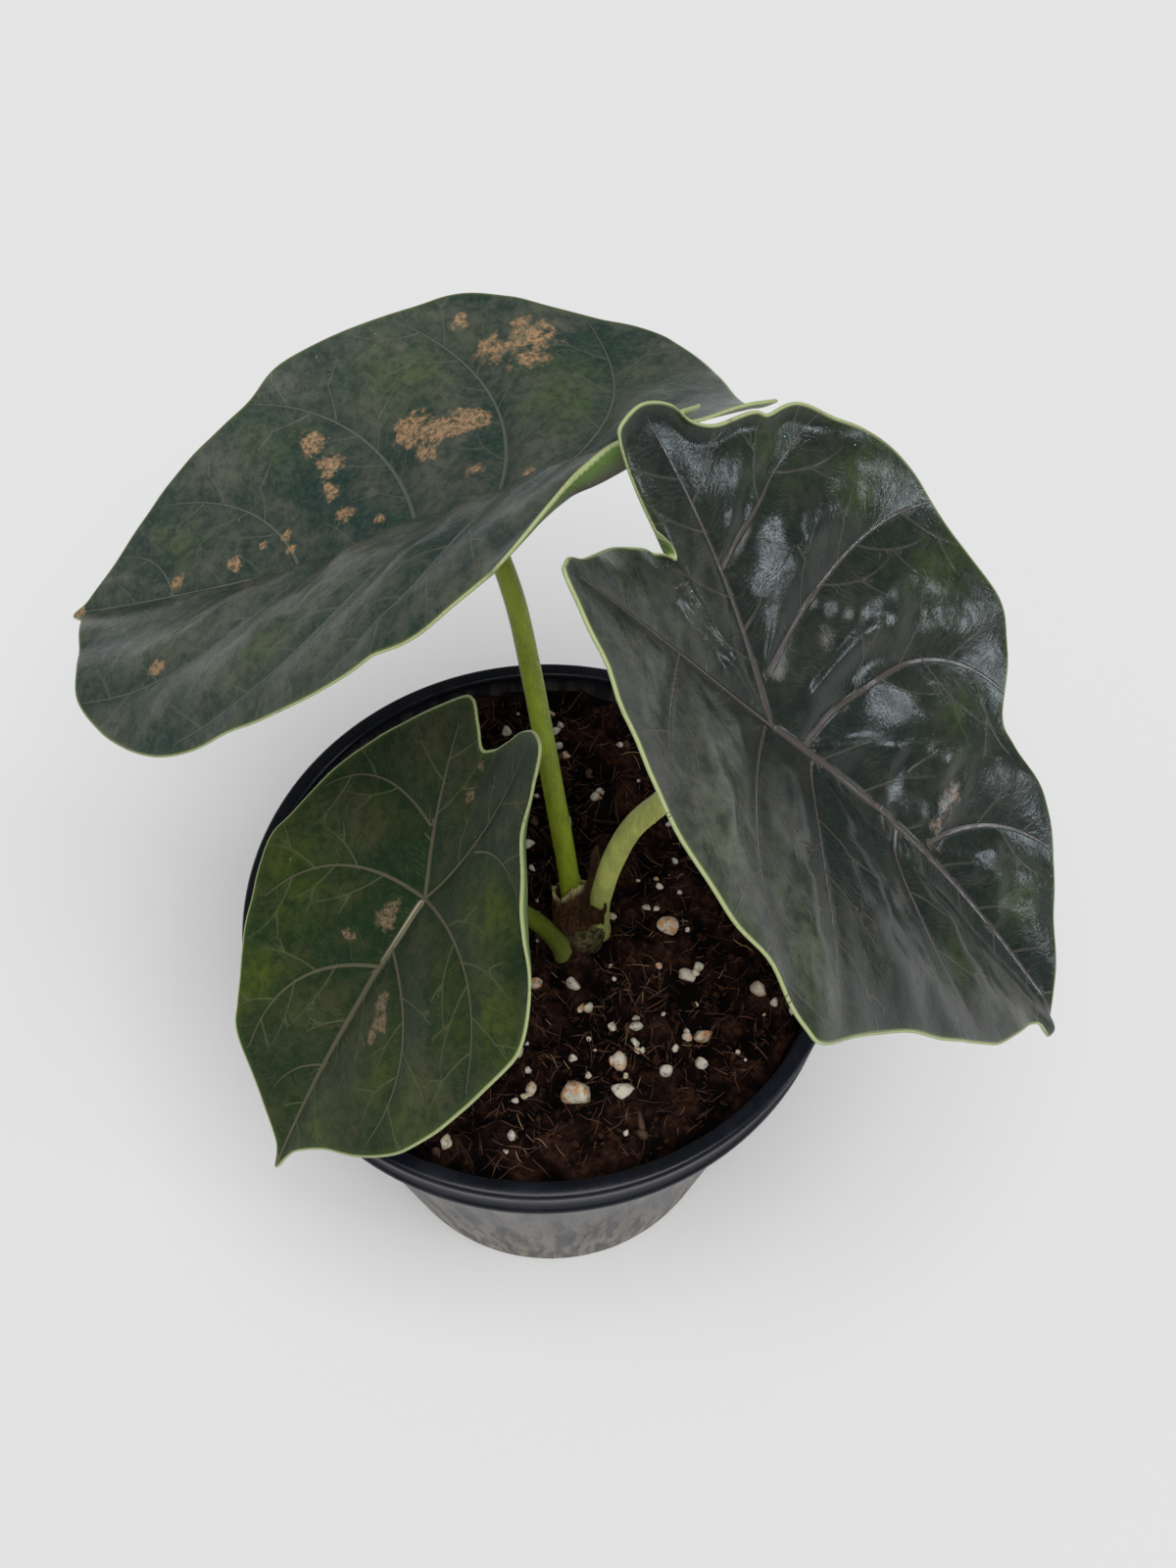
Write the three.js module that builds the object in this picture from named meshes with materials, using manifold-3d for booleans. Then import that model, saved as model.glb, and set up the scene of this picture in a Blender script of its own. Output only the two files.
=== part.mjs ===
// Potted Alocasia azlanii: three quilted, cupped leaves on upright stalks that rise from a short
// rhizome in a nursery pot full of peat and perlite. Millimetres, +Z up, origin at the centre of
// the pot's base.
import * as THREE from 'three';
import { mergeVertices } from 'three/addons/utils/BufferGeometryUtils.js';
import Module from 'manifold-3d';

const wasm = await Module();
wasm.setup();

// Driving dimensions of the pot
const RIM_RADIUS = 65;
const POT_HEIGHT = 110.5;
const BASE_RADIUS = 46;
const WALL = 1.4;
const BAND_HEIGHT = 13;
const BAND_STEP = 3.3;
const LIP_WIDTH = 3.8;
const FOOT_WIDTH = 6;
const PAD_RADIUS = 14;
const RECESS_DEPTH = 1.6;
const FLOOR = 1.8;
const DRAIN_RADIUS = 3.5;
const DRAIN_CIRCLE = 27;
const DRAIN_COUNT = 6;
const DRAIN_SIDES = 16;
const POT_SIDES = 48;

// Driving dimensions of the soil
const SOIL_BELOW_LIP = 8;
const SOIL_MOUND = 4;
const SOIL_BUMP = 0.9;
const CROWN_HOLLOW = 2.2;
const HOLLOW_RADIUS = 11.2;
const SOIL_SIDES = 44;
const SOIL_RINGS = 9;
const GRAIN_COUNT = 26;
const GRAIN_SIZE = [2.6, 5];
const GRAIN_RAISED = 0.12;
const GRAINLESS_RIM = 12;

// Clearance between pieces that touch
const GAP = 0.3;

// Driving dimensions of the plant
const CROWN = [7.4, -2.5];
const CROWN_RADIUS = 6;
const CROWN_TOP = 106.8;
const CROWN_DEPTH = 24;
const CROWN_SIDES = 20;
const SHEATH_THICKNESS = 0.7;
const SHEATH_COLUMNS = 32;
const SHEATH_ROWS = 8;
const STALK_FLARE = 0.5;
const STALK_FLARE_LENGTH = 10;
const STALK_STEP = 6;
const BLADE_THICKNESS = 0.8;
const BLADE_AROUND = 64;
const INNER_RINGS = 8;
const STRIP_RINGS = 3;
const INNER_RING_POWER = 0.9;
// The roll, in degrees, that a straight stretch of margin gets, so that its arc has a radius
const STRAIGHT = 0.01;
const QUILT_HEIGHT = 1.7;
const VEIN_VALLEY = 5;
const STALK_SIDES = 12;

const soilTop = POT_HEIGHT - SOIL_BELOW_LIP;

// Leaf shapes. A blade is first drawn flat, with u along the midrib from the stalk towards the tip
// and v to the left, seen from above. bend and curl are degrees per millimetre, fold is each
// half's rise at the midrib in degrees, and a pair holds the left half's value and the right's
// (for bend, the front's and the back's). strip is the width of the margin that is rolled up, and
// an outline point is u, v and how many degrees it is rolled up there, or down where negative.
// A vein is a start, a control point and an end, in u and v.
const LEAVES = {
  back: {
    attach: [-9.9, 29.6, 201.8],
    azimuth: 174.2,
    pitch: 32.5,
    roll: 28.8,
    bend: [-0.13, -0.09],
    fold: [24, 19.6],
    grow: [0.085, 0.095],
    backFold: -0.29,
    curl: [-1.28, 0.39],
    twist: -0.37,
    sway: 0.0005,
    strip: 7,
    outline: [
      [95, 0.5, 0], [90.5, 4.5, 0], [82, 20, 0], [77.5, 29.5, 0], [65.5, 40.5, 0],
      [50.5, 47.5, 0], [33, 48.5, 0], [20.5, 49.5, 0], [10, 50, 0], [2, 50, 0], [-7.5, 49, 0],
      [-15, 46, 5], [-21.5, 43.8, 15], [-26, 45, 50], [-32, 41, 62], [-38, 36.8, 72],
      [-43.5, 36, 100], [-49, 35, 130], [-54, 32, 90], [-56, 27, 45], [-55, 20.5, 15],
      [-50, 12, 5], [-44.5, 5, 5], [-44, 0, 5], [-48, -5, 5], [-52, -10, 5], [-53.5, -14, 5],
      [-50, -18, 0], [-46, -21, 0], [-41.5, -28.5, 0], [-37, -37, 0], [-32.5, -44, 0],
      [-27.5, -49, 0], [-23, -52, 0], [-12.5, -54, 0], [0, -56, 0], [9.5, -57.5, 0],
      [19, -55, 0], [30.5, -51.5, 0], [46, -45, 0], [54, -37.5, 0], [67.5, -27.5, 0],
      [80.5, -14, 0], [91, -3, 0],
    ],
    veins: [
      [[0, 0], [45, 0], [93, 0]],
      [[0, 0], [-14, -8], [-50, -16]],
      [[0, 0], [-18, 6], [-48, 20]],
      [[-3, -3], [-2, -38], [24, -52]],
      [[14, 0], [26, -34], [53, -37]],
      [[41, 0], [51, -20], [73, -19]],
      [[71, 0], [74, -10], [83, -10]],
      [[-17, -8], [-24, -30], [-12, -52]],
      [[0, 2], [-8, 40], [49, 46]],
      [[24, 0], [34, 38], [76, 30]],
      [[52, 0], [60, 20], [84, 15]],
      [[-15, 5], [-18, 42], [14, 49]],
    ],
  },
  right: {
    attach: [37.7, -22.5, 210.6],
    azimuth: -21.3,
    pitch: 45.9,
    roll: -7.3,
    bend: [-0.06, -0.2],
    fold: [26, 15.5],
    grow: [0, 0],
    backFold: -0.03,
    curl: [0.08, -0.08],
    twist: 0.02,
    sway: -0.0004,
    strip: 4,
    outline: [
      [84, -2, -80], [80.5, 1, -20], [78.3, 3.5, 0], [75, 8, 0], [69.5, 14, 0], [62, 22.5, 0],
      [54, 28, 0], [43, 30, 0], [37, 32, 0], [30, 41, 0], [23, 45.5, 0], [12, 46.5, 0],
      [2.5, 47, 0], [-7, 48, 0], [-16.5, 46.5, 10], [-25, 42.5, 30], [-32.5, 38.5, 40],
      [-35.5, 33, 45], [-38, 31, 45], [-41.5, 24.5, 45], [-45.5, 21, 45], [-49, 20, 30],
      [-51.5, 18, 25], [-53, 15.3, 25], [-53, 11.3, 25], [-51.6, 10, 20], [-49, 9, 15],
      [-45.2, 8, 10], [-42, 7.2, 10], [-39, 6.5, 15], [-37.5, 6, 40], [-36.8, 5.6, 150],
      [-36.2, 4.8, 140], [-35, 4, 20], [-37, 3, 10], [-41, -1, 0], [-43.3, -4.4, 0],
      [-48, -12, 0], [-50.7, -14.7, 0], [-51.3, -16.6, 0], [-50.8, -18.5, 0], [-44, -22.5, 0],
      [-33, -31, 0], [-21, -39, 0], [-9, -44, 0], [1.5, -46.5, 0], [10.5, -51, 0],
      [14.5, -51.5, 0], [23, -44.5, 0], [34.5, -36, 0], [47, -29, 0], [58, -22, 0],
      [63.5, -18, 0], [69.5, -11.5, 0], [74, -6.5, 0], [77.5, -4.3, 0],
    ],
    veins: [
      [[0, 0], [40, 9], [84, 0]],
      [[0, 0], [-22, 14], [-50, 16]],
      [[0, 0], [-24, -5], [-48, -16]],
      [[-24, 12], [-28, 26], [-28, 41]],
      [[-6, 6], [-12, 36], [2, 49]],
      [[7, 3], [10, 34], [36, 35]],
      [[38, 6], [46, 20], [62, 22]],
      [[-24, -7], [-27, -24], [-22, -40]],
      [[-2, -3], [-8, -32], [9, -52]],
      [[10, 1], [14, -20], [20, -46]],
      [[31, 4], [39, -10], [56, -21]],
    ],
  },
  left: {
    attach: [-21, -19.7, 148.6],
    azimuth: -131.4,
    pitch: 35.2,
    roll: 27.5,
    bend: [0.22, -0.48],
    fold: [9, 20.5],
    grow: [-0.05, 0],
    backFold: 0.03,
    curl: [-0.57, 0.02],
    twist: -0.19,
    sway: -0.001,
    strip: 3.5,
    outline: [
      [67, 0, 0], [63, 1.5, 0], [59, 4, 0], [53, 10.5, 0], [47.5, 19, 0], [40, 27, 0],
      [31.5, 32, 0], [23, 35.5, 0], [10.5, 40, 0], [3, 41, 10], [-7, 38.5, 70], [-12.5, 35, 100],
      [-18, 31, 100], [-23, 27.5, 85], [-28.5, 24, 70], [-35.5, 20.5, 20], [-38, 19.5, 0],
      [-42.5, 18.5, 0], [-43, 14, 0], [-40, 8, 0], [-37, 5, 20], [-32, -1.5, 20],
      [-31, -4.5, 20], [-34.5, -8, 10], [-38, -11, 0], [-36.5, -14.5, 0], [-28, -23, 0],
      [-20.5, -28.5, 0], [-12.5, -33, 0], [-4.5, -35.5, 0], [4.5, -37, 0], [12.5, -38, 0],
      [24.5, -33, 0], [33.5, -28.5, 0], [41, -24, 0], [46.5, -20.5, 0], [55.5, -9, 0],
      [61.5, -2.5, 0],
    ],
    veins: [
      [[0, 0], [30, -1], [65, 0]],
      [[0, 0], [-14, -10], [-32, -12]],
      [[0, 0], [-16, 8], [-41, 13]],
      [[-12, -8], [-18, -27], [-4, -34]],
      [[-15, 8], [-21, 17], [-16, 26]],
      [[0, 0], [2, -25], [20, -31]],
      [[16, 0], [27, -21], [47, -17]],
      [[40, 0], [44, -7], [51, -8]],
      [[0, 0], [-4, 28], [19, 35]],
      [[12, 0], [18, 24], [43, 20]],
    ],
  },
};

// Stalk routes, from inside the rhizome up to near the blade
const STALKS = {
  back: {
    route: [[6.2, -1.5, 98], [6.3, -1.2, 105], [5.8, 2.3, 113.2], [4, 7.1, 128.3], [0.9, 14.1, 151],
      [-1.4, 19.1, 167.3], [-3.5, 23.1, 180.3], [-5.9, 26.1, 190.2]],
    bottomRadius: 2.35,
    topRadius: 1.9,
  },
  right: {
    route: [[12, -0.8, 98], [12, -1.2, 105], [12, -2.4, 112], [12.4, -5.2, 124], [14.3, -9.5, 145.2],
      [17.6, -13.4, 164.9], [23.1, -16.4, 179.9], [30.4, -19.5, 195.7]],
    bottomRadius: 2.4,
    topRadius: 2,
  },
  left: {
    route: [[5, -7.2, 98], [3.4, -7.6, 106], [-1, -9, 119], [-6.5, -12, 131], [-13.5, -16, 141]],
    bottomRadius: 2.1,
    topRadius: 1.7,
  },
};

// Lines up the wall of the sheath, each one its foot, middle and rim. They run from its right edge,
// in front of the right stalk, past the long point and the torn front round to its back.
const SHEATH = [
  [[13.2, -5.2, 110], [13.1, -6.9, 117.5], [12.9, -8.1, 124.6]],
  [[11.6, -5.6, 111.3], [10.8, -6.8, 119], [10.9, -2, 138.2]],
  [[7.8, -6.4, 109.5], [8.3, -3.6, 114.5], [9.3, 0.2, 120.4]],
  [[4.4, -6.3, 107.6], [5.3, -3.6, 111.5], [6.3, 0, 116.8]],
  [[2.4, -4.2, 107], [3, -3, 110.5], [3.9, -1, 114.4]],
  [[1.9, -1, 106.8], [1.9, 0, 109.6], [2.3, 1.4, 112.6]],
  [[2.6, 2.4, 106.6], [2.4, 3.2, 109], [2.7, 4.3, 111.4]],
  [[7, 4.4, 106.6], [6.7, 5.4, 109], [6.5, 6.3, 111.2]],
  [[11.6, 3, 107], [11.7, 3.3, 110], [11.8, 3.4, 113]],
];

function material(colour, roughness) {
  return new THREE.MeshStandardMaterial({ color: colour, roughness, metalness: 0 });
}

// Solids: three.js geometry to and from a closed solid that can be joined and cut
function toSolid(geometry) {
  const bare = geometry.clone();
  bare.deleteAttribute('normal');
  bare.deleteAttribute('uv');
  const merged = mergeVertices(bare, 1e-4);
  return new wasm.Manifold(new wasm.Mesh({
    numProp: 3,
    vertProperties: new Float32Array(merged.attributes.position.array),
    triVerts: new Uint32Array(merged.index.array),
  }));
}

// The largest body of a solid: loose scraps of a cut are dropped
function largest(solid) {
  return solid.decompose().sort((one, other) => other.volume() - one.volume())[0];
}

function toGeometry(solid) {
  const mesh = largest(solid).getMesh();
  const geometry = new THREE.BufferGeometry();
  geometry.setAttribute('position', new THREE.BufferAttribute(mesh.vertProperties, 3));
  geometry.setIndex(new THREE.BufferAttribute(mesh.triVerts, 1));
  geometry.computeVertexNormals();
  return geometry;
}

function meshOf(name, geometry, finish) {
  const mesh = new THREE.Mesh(geometry, finish);
  mesh.name = name;
  return mesh;
}

function indexed(points, faces) {
  const geometry = new THREE.BufferGeometry();
  geometry.setAttribute('position', new THREE.Float32BufferAttribute(points.flat(), 3));
  geometry.setIndex(faces.flat());
  return geometry;
}

// A lathe around +Z from a closed profile of [radius, height] points
function turned(profile, sides) {
  const points = profile.map(([radius, height]) => new THREE.Vector2(radius, height));
  return new THREE.LatheGeometry(points, sides).rotateX(Math.PI / 2);
}

function makeRandom(seed) {
  let state = seed;
  return () => {
    state = (state * 1664525 + 1013904223) % 4294967296;
    return state / 4294967296;
  };
}

// Pot
const innerBase = BASE_RADIUS - WALL;
const bandOuter = RIM_RADIUS - 0.8;
const wallTopRadius = bandOuter - BAND_STEP;
const bandBottom = POT_HEIGHT - BAND_HEIGHT;

// Inner wall radius at a height
function innerRadius(height) {
  const taper = (wallTopRadius - BASE_RADIUS) / bandBottom;
  return innerBase + taper * height;
}

function potGeometry() {
  const lipInner = RIM_RADIUS - LIP_WIDTH;
  const lipCentre = RIM_RADIUS - LIP_WIDTH / 2;
  const profile = [
    [0, 0],
    [PAD_RADIUS, 0],
    [PAD_RADIUS + 1, RECESS_DEPTH],
    [BASE_RADIUS - FOOT_WIDTH, RECESS_DEPTH],
    [BASE_RADIUS - FOOT_WIDTH + 1, 0],
    [BASE_RADIUS - 1, 0],
    [BASE_RADIUS, 1.2],
    [wallTopRadius, bandBottom],
    [bandOuter - 0.5, bandBottom],
    [bandOuter, bandBottom + 0.5],
    [bandOuter, bandBottom + 1.6],
    [bandOuter - 0.7, bandBottom + 2.1],
    [bandOuter - 0.5, POT_HEIGHT - 3.2],
    [RIM_RADIUS, POT_HEIGHT - 2],
    [RIM_RADIUS - 0.4, POT_HEIGHT - 0.7],
    [lipCentre, POT_HEIGHT],
    [lipInner + 0.5, POT_HEIGHT - 0.6],
    [lipInner, POT_HEIGHT - 2],
    [innerRadius(bandBottom), bandBottom - 2],
    [innerRadius(RECESS_DEPTH + FLOOR), RECESS_DEPTH + FLOOR],
    [0, RECESS_DEPTH + FLOOR],
  ];
  let solid = toSolid(turned(profile, POT_SIDES));
  const depth = 4 * (RECESS_DEPTH + FLOOR);
  const hole = new THREE.CylinderGeometry(DRAIN_RADIUS, DRAIN_RADIUS, depth, DRAIN_SIDES);
  hole.rotateX(Math.PI / 2);
  for (let i = 0; i < DRAIN_COUNT; i += 1) {
    const angle = (i + 0.5) * 2 * Math.PI / DRAIN_COUNT;
    const drill = hole.clone();
    drill.translate(DRAIN_CIRCLE * Math.cos(angle), DRAIN_CIRCLE * Math.sin(angle), 0);
    solid = solid.subtract(toSolid(drill));
  }
  return toGeometry(solid);
}

// Soil surface height: a mound towards the back, with lumps of a few millimetres
function soilHeight(x, y) {
  const mound = SOIL_MOUND * THREE.MathUtils.smoothstep(y, 0, RIM_RADIUS);
  const lumps = Math.sin(x * 0.42 + 1.3) * Math.cos(y * 0.37)
    + 0.8 * Math.sin(x * 0.19 - y * 0.53 + 2.1);
  const fromCrown = Math.hypot(x - CROWN[0], y - CROWN[1]);
  const hollow = CROWN_HOLLOW * Math.exp(-((fromCrown / HOLLOW_RADIUS) ** 2));
  return soilTop + mound + SOIL_BUMP * lumps - hollow;
}

function soilBody() {
  const bottom = RECESS_DEPTH + FLOOR + GAP;
  const clearance = 2 * GAP;
  const edge = innerRadius(soilTop) - clearance;
  const points = [[0, 0, soilHeight(0, 0)]];
  const faces = [];
  for (let ring = 1; ring <= SOIL_RINGS; ring += 1) {
    for (let i = 0; i < SOIL_SIDES; i += 1) {
      const angle = i * 2 * Math.PI / SOIL_SIDES;
      const radius = edge * ring / SOIL_RINGS;
      const x = radius * Math.cos(angle);
      const y = radius * Math.sin(angle);
      points.push([x, y, Math.min(soilHeight(x, y), soilTop + SOIL_MOUND)]);
    }
  }
  for (let i = 0; i < SOIL_SIDES; i += 1) {
    const angle = i * 2 * Math.PI / SOIL_SIDES;
    const radius = innerRadius(bottom) - clearance;
    points.push([radius * Math.cos(angle), radius * Math.sin(angle), bottom]);
  }
  points.push([0, 0, bottom]);
  const last = points.length - 1;
  const at = (ring, i) => 1 + (ring - 1) * SOIL_SIDES + (i % SOIL_SIDES);
  for (let i = 0; i < SOIL_SIDES; i += 1) {
    faces.push([0, at(1, i), at(1, i + 1)]);
    for (let ring = 1; ring <= SOIL_RINGS; ring += 1) {
      faces.push([at(ring, i), at(ring + 1, i), at(ring + 1, i + 1)]);
      faces.push([at(ring, i), at(ring + 1, i + 1), at(ring, i + 1)]);
    }
    faces.push([at(SOIL_RINGS + 1, i), last, at(SOIL_RINGS + 1, i + 1)]);
  }
  return toSolid(indexed(points, faces));
}

// The largest grains of perlite, half sunk in the soil: [x, y, size]
const GRAINS = [
  [27.5, -2.5, 6.6], [7.5, -41, 6], [46, -18, 4], [34.5, -27, 4.6], [6.5, -15, 4.4],
  [-1.5, -15.5, 3.6], [10, -21, 3.2], [20, -26, 3.8], [16.5, -33, 4.2], [26, -36, 4],
  [33.5, -34, 3.6], [17, -39.5, 4.4], [-2, -39, 3.4], [-5, -31, 3.6], [-19, -51, 3.8],
  [31, -13, 4.2], [4, 25, 4.4], [3.6, 21, 3.4], [-4, 19, 3.2],
];

function grain(x, y, size, random) {
  const uneven = () => THREE.MathUtils.lerp(0.85, 1.15, random());
  const body = new THREE.IcosahedronGeometry(size / 2, 0);
  body.rotateX(random() * Math.PI);
  body.rotateZ(random() * Math.PI);
  body.scale(uneven(), uneven(), 0.9);
  body.translate(x, y, soilHeight(x, y) + GRAIN_RAISED * size);
  return toSolid(body);
}

function soilGeometry(cutters) {
  const random = makeRandom(7);
  let solid = soilBody();
  const grains = [...GRAINS];
  while (grains.length < GRAINS.length + GRAIN_COUNT) {
    const angle = random() * 2 * Math.PI;
    const radius = (RIM_RADIUS - GRAINLESS_RIM) * Math.sqrt(random());
    const size = THREE.MathUtils.lerp(...GRAIN_SIZE, random());
    grains.push([radius * Math.cos(angle), radius * Math.sin(angle), size]);
  }
  for (const [x, y, size] of grains) {
    if (Math.hypot(x - CROWN[0], y - CROWN[1]) > CROWN_RADIUS + size) {
      solid = solid.add(grain(x, y, size, random));
    }
  }
  for (const cutter of cutters) {
    solid = solid.subtract(cutter);
  }
  return toGeometry(solid);
}

// A tapered round stem along a smooth curve, closed at both ends. grow widens it by a clearance.
function stem(route, bottomRadius, topRadius, grow) {
  const sides = STALK_SIDES;
  const curve = new THREE.CatmullRomCurve3(route.map((point) => new THREE.Vector3(...point)));
  const length = curve.getLength();
  const steps = Math.round(length / STALK_STEP);
  const frames = curve.computeFrenetFrames(steps, false);
  const points = [];
  const faces = [];
  for (let step = 0; step <= steps; step += 1) {
    const along = step / steps;
    const centre = curve.getPointAt(along);
    const flare = STALK_FLARE * Math.exp(-((along * length / STALK_FLARE_LENGTH) ** 2));
    const radius = THREE.MathUtils.lerp(bottomRadius, topRadius, along) + flare + grow;
    for (let i = 0; i < sides; i += 1) {
      const angle = i * 2 * Math.PI / sides;
      const point = centre.clone()
        .addScaledVector(frames.normals[step], radius * Math.cos(angle))
        .addScaledVector(frames.binormals[step], radius * Math.sin(angle));
      points.push(point.toArray());
    }
  }
  const foot = points.push(curve.getPointAt(0).toArray()) - 1;
  const head = points.push(curve.getPointAt(1).toArray()) - 1;
  for (let i = 0; i < sides; i += 1) {
    const next = (i + 1) % sides;
    faces.push([foot, next, i]);
    for (let step = 0; step < steps; step += 1) {
      const low = step * sides;
      const high = low + sides;
      faces.push([low + i, low + next, high + next]);
      faces.push([low + i, high + next, high + i]);
    }
    faces.push([head, steps * sides + i, steps * sides + next]);
  }
  return indexed(points, faces);
}

// Rhizome: a short stub with a shoulder, mostly below the soil surface. grow adds a clearance.
function rhizomeBody(grow = 0) {
  const bottom = CROWN_TOP - CROWN_DEPTH - grow;
  const profile = [
    [0, bottom],
    [0.35 * CROWN_RADIUS + grow, bottom],
    [0.75 * CROWN_RADIUS + grow, CROWN_TOP - 0.75 * CROWN_DEPTH],
    [0.95 * CROWN_RADIUS + grow, CROWN_TOP - 0.45 * CROWN_DEPTH],
    [0.88 * CROWN_RADIUS + grow, CROWN_TOP - 0.3 * CROWN_DEPTH],
    [CROWN_RADIUS + grow, CROWN_TOP - 0.16 * CROWN_DEPTH],
    [0.9 * CROWN_RADIUS + grow, CROWN_TOP - 0.05 * CROWN_DEPTH],
    [0.6 * CROWN_RADIUS + grow, CROWN_TOP + grow],
    [0, CROWN_TOP + grow],
  ];
  return turned(profile, CROWN_SIDES).translate(CROWN[0], CROWN[1], 0);
}

function rhizomeGeometry(cutters) {
  let solid = toSolid(rhizomeBody());
  for (const cutter of cutters) {
    solid = solid.subtract(cutter);
  }
  return toGeometry(solid);
}

// The outer face of the sheath, at a share of the way along it and of the way up
function sheathPoint(along, up) {
  const line = [0, 1, 2].map((level) => {
    const ring = SHEATH.map((points) => new THREE.Vector3(...points[level]));
    return new THREE.CatmullRomCurve3(ring).getPoint(along);
  });
  return new THREE.CatmullRomCurve3(line).getPoint(up);
}

// Papery sheath: a thin wall, open at the right, that wraps the feet of the back and right stalks
function sheathBody() {
  const columns = SHEATH_COLUMNS;
  const rows = SHEATH_ROWS;
  const place = (column, row) => sheathPoint(
    THREE.MathUtils.clamp(column / columns, 0, 1), THREE.MathUtils.clamp(row / rows, 0, 1));
  const points = [];
  const faces = [];
  const face = (inward) => {
    const first = points.length;
    for (let column = 0; column <= columns; column += 1) {
      for (let row = 0; row <= rows; row += 1) {
        const along = place(column + 1, row).sub(place(column - 1, row));
        const up = place(column, row + 1).sub(place(column, row - 1));
        const inside = along.cross(up).normalize();
        points.push(place(column, row).addScaledVector(inside, inward).toArray());
      }
    }
    return (column, row) => first + column * (rows + 1) + row;
  };
  const outer = face(0);
  const inner = face(SHEATH_THICKNESS);
  const quad = (a, b, c, d) => faces.push([a, b, c], [a, c, d]);
  for (let column = 0; column < columns; column += 1) {
    const next = column + 1;
    for (let row = 0; row < rows; row += 1) {
      quad(outer(column, row), outer(column, row + 1), outer(next, row + 1), outer(next, row));
      quad(inner(column, row), inner(next, row), inner(next, row + 1), inner(column, row + 1));
    }
    quad(outer(column, 0), outer(next, 0), inner(next, 0), inner(column, 0));
    quad(outer(column, rows), inner(column, rows), inner(next, rows), outer(next, rows));
  }
  for (let row = 0; row < rows; row += 1) {
    const above = row + 1;
    quad(outer(0, row), inner(0, row), inner(0, above), outer(0, above));
    quad(outer(columns, row), outer(columns, above), inner(columns, above), inner(columns, row));
  }
  return indexed(points, faces);
}

function sheathGeometry(cutters) {
  let solid = toSolid(sheathBody());
  for (const cutter of cutters) {
    solid = solid.subtract(cutter);
  }
  return toGeometry(solid);
}

// Leaf blade
function leafFrame(leaf) {
  const azimuth = THREE.MathUtils.degToRad(leaf.azimuth);
  const pitch = THREE.MathUtils.degToRad(leaf.pitch);
  const roll = THREE.MathUtils.degToRad(leaf.roll);
  const along = new THREE.Vector3(
    Math.cos(azimuth) * Math.cos(pitch),
    Math.sin(azimuth) * Math.cos(pitch),
    -Math.sin(pitch),
  );
  const side = new THREE.Vector3(-Math.sin(azimuth), Math.cos(azimuth), 0);
  side.applyAxisAngle(along, roll);
  return { along, side, up: along.clone().cross(side) };
}

// The point of the bent, folded and curled blade at u, v, raised by lift off its surface
function bladePoint(leaf, u, v, lift) {
  const radians = THREE.MathUtils.degToRad;
  const half = v >= 0 ? 0 : 1;
  const sign = v >= 0 ? 1 : -1;
  const bend = radians(leaf.bend[u > 0 ? 0 : 1]);
  const heading = bend * u;
  const middle = Math.abs(bend) < 1e-6
    ? [u, 0]
    : [Math.sin(heading) / bend, (Math.cos(heading) - 1) / bend];
  const fold = radians(leaf.fold[half] + leaf.grow[half] * u - leaf.backFold * Math.min(u, 0));
  const curl = radians(leaf.curl[half]);
  const slope = fold + curl * Math.abs(v);
  const out = sign * ((Math.sin(slope) - Math.sin(fold)) / curl - Math.sin(slope) * lift);
  const rise = (Math.cos(fold) - Math.cos(slope)) / curl + Math.cos(slope) * lift;
  const turn = radians(leaf.twist) * u;
  const across = out * Math.cos(turn) - rise * Math.sin(turn) + leaf.sway * Math.max(u, 0) ** 2;
  const height = out * Math.sin(turn) + rise * Math.cos(turn);
  const frame = leafFrame(leaf);
  return new THREE.Vector3(...leaf.attach)
    .addScaledVector(frame.along, middle[0] + height * Math.sin(heading))
    .addScaledVector(frame.side, across)
    .addScaledVector(frame.up, middle[1] + height * Math.cos(heading));
}

// Distance from u, v to the nearest vein, each vein being a quadratic curve
function veinDistance(leaf, u, v) {
  let nearest = Infinity;
  for (const [start, control, end] of leaf.veins) {
    const curve = new THREE.QuadraticBezierCurve(
      new THREE.Vector2(...start),
      new THREE.Vector2(...control),
      new THREE.Vector2(...end),
    );
    for (const point of curve.getPoints(10)) {
      nearest = Math.min(nearest, Math.hypot(point.x - u, point.y - v));
    }
  }
  return nearest;
}

// The blade rises between its veins, which lie in soft valleys, and flattens towards its margin
function quilting(leaf, u, v, reach) {
  const pillow = 1 - Math.exp(-((veinDistance(leaf, u, v) / VEIN_VALLEY) ** 2));
  return QUILT_HEIGHT * pillow * (1 - reach ** 4);
}

// The point of a blade on one of its rings, towards the margin point edge. The inner rings cross
// the plain blade and the last ones its strip, which is rolled up as an arc. offset is square to it.
function ringPoint(leaf, edge, ring, offset) {
  const full = Math.hypot(edge.x, edge.y);
  const plain = full - leaf.strip;
  const inner = plain * (Math.min(ring, INNER_RINGS) / INNER_RINGS) ** INNER_RING_POWER;
  const past = leaf.strip * Math.max(ring - INNER_RINGS, 0) / STRIP_RINGS;
  const roll = THREE.MathUtils.degToRad(edge.z === 0 ? STRAIGHT : edge.z);
  const angle = roll * past / leaf.strip;
  const arc = leaf.strip / roll;
  const distance = inner + past;
  const quilt = quilting(leaf, distance * edge.x / full, distance * edge.y / full, distance / full);
  const radius = inner + arc * Math.sin(angle) - Math.sin(angle) * offset;
  const lift = quilt + arc * (1 - Math.cos(angle)) + Math.cos(angle) * offset;
  return bladePoint(leaf, radius * edge.x / full, radius * edge.y / full, lift);
}

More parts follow.
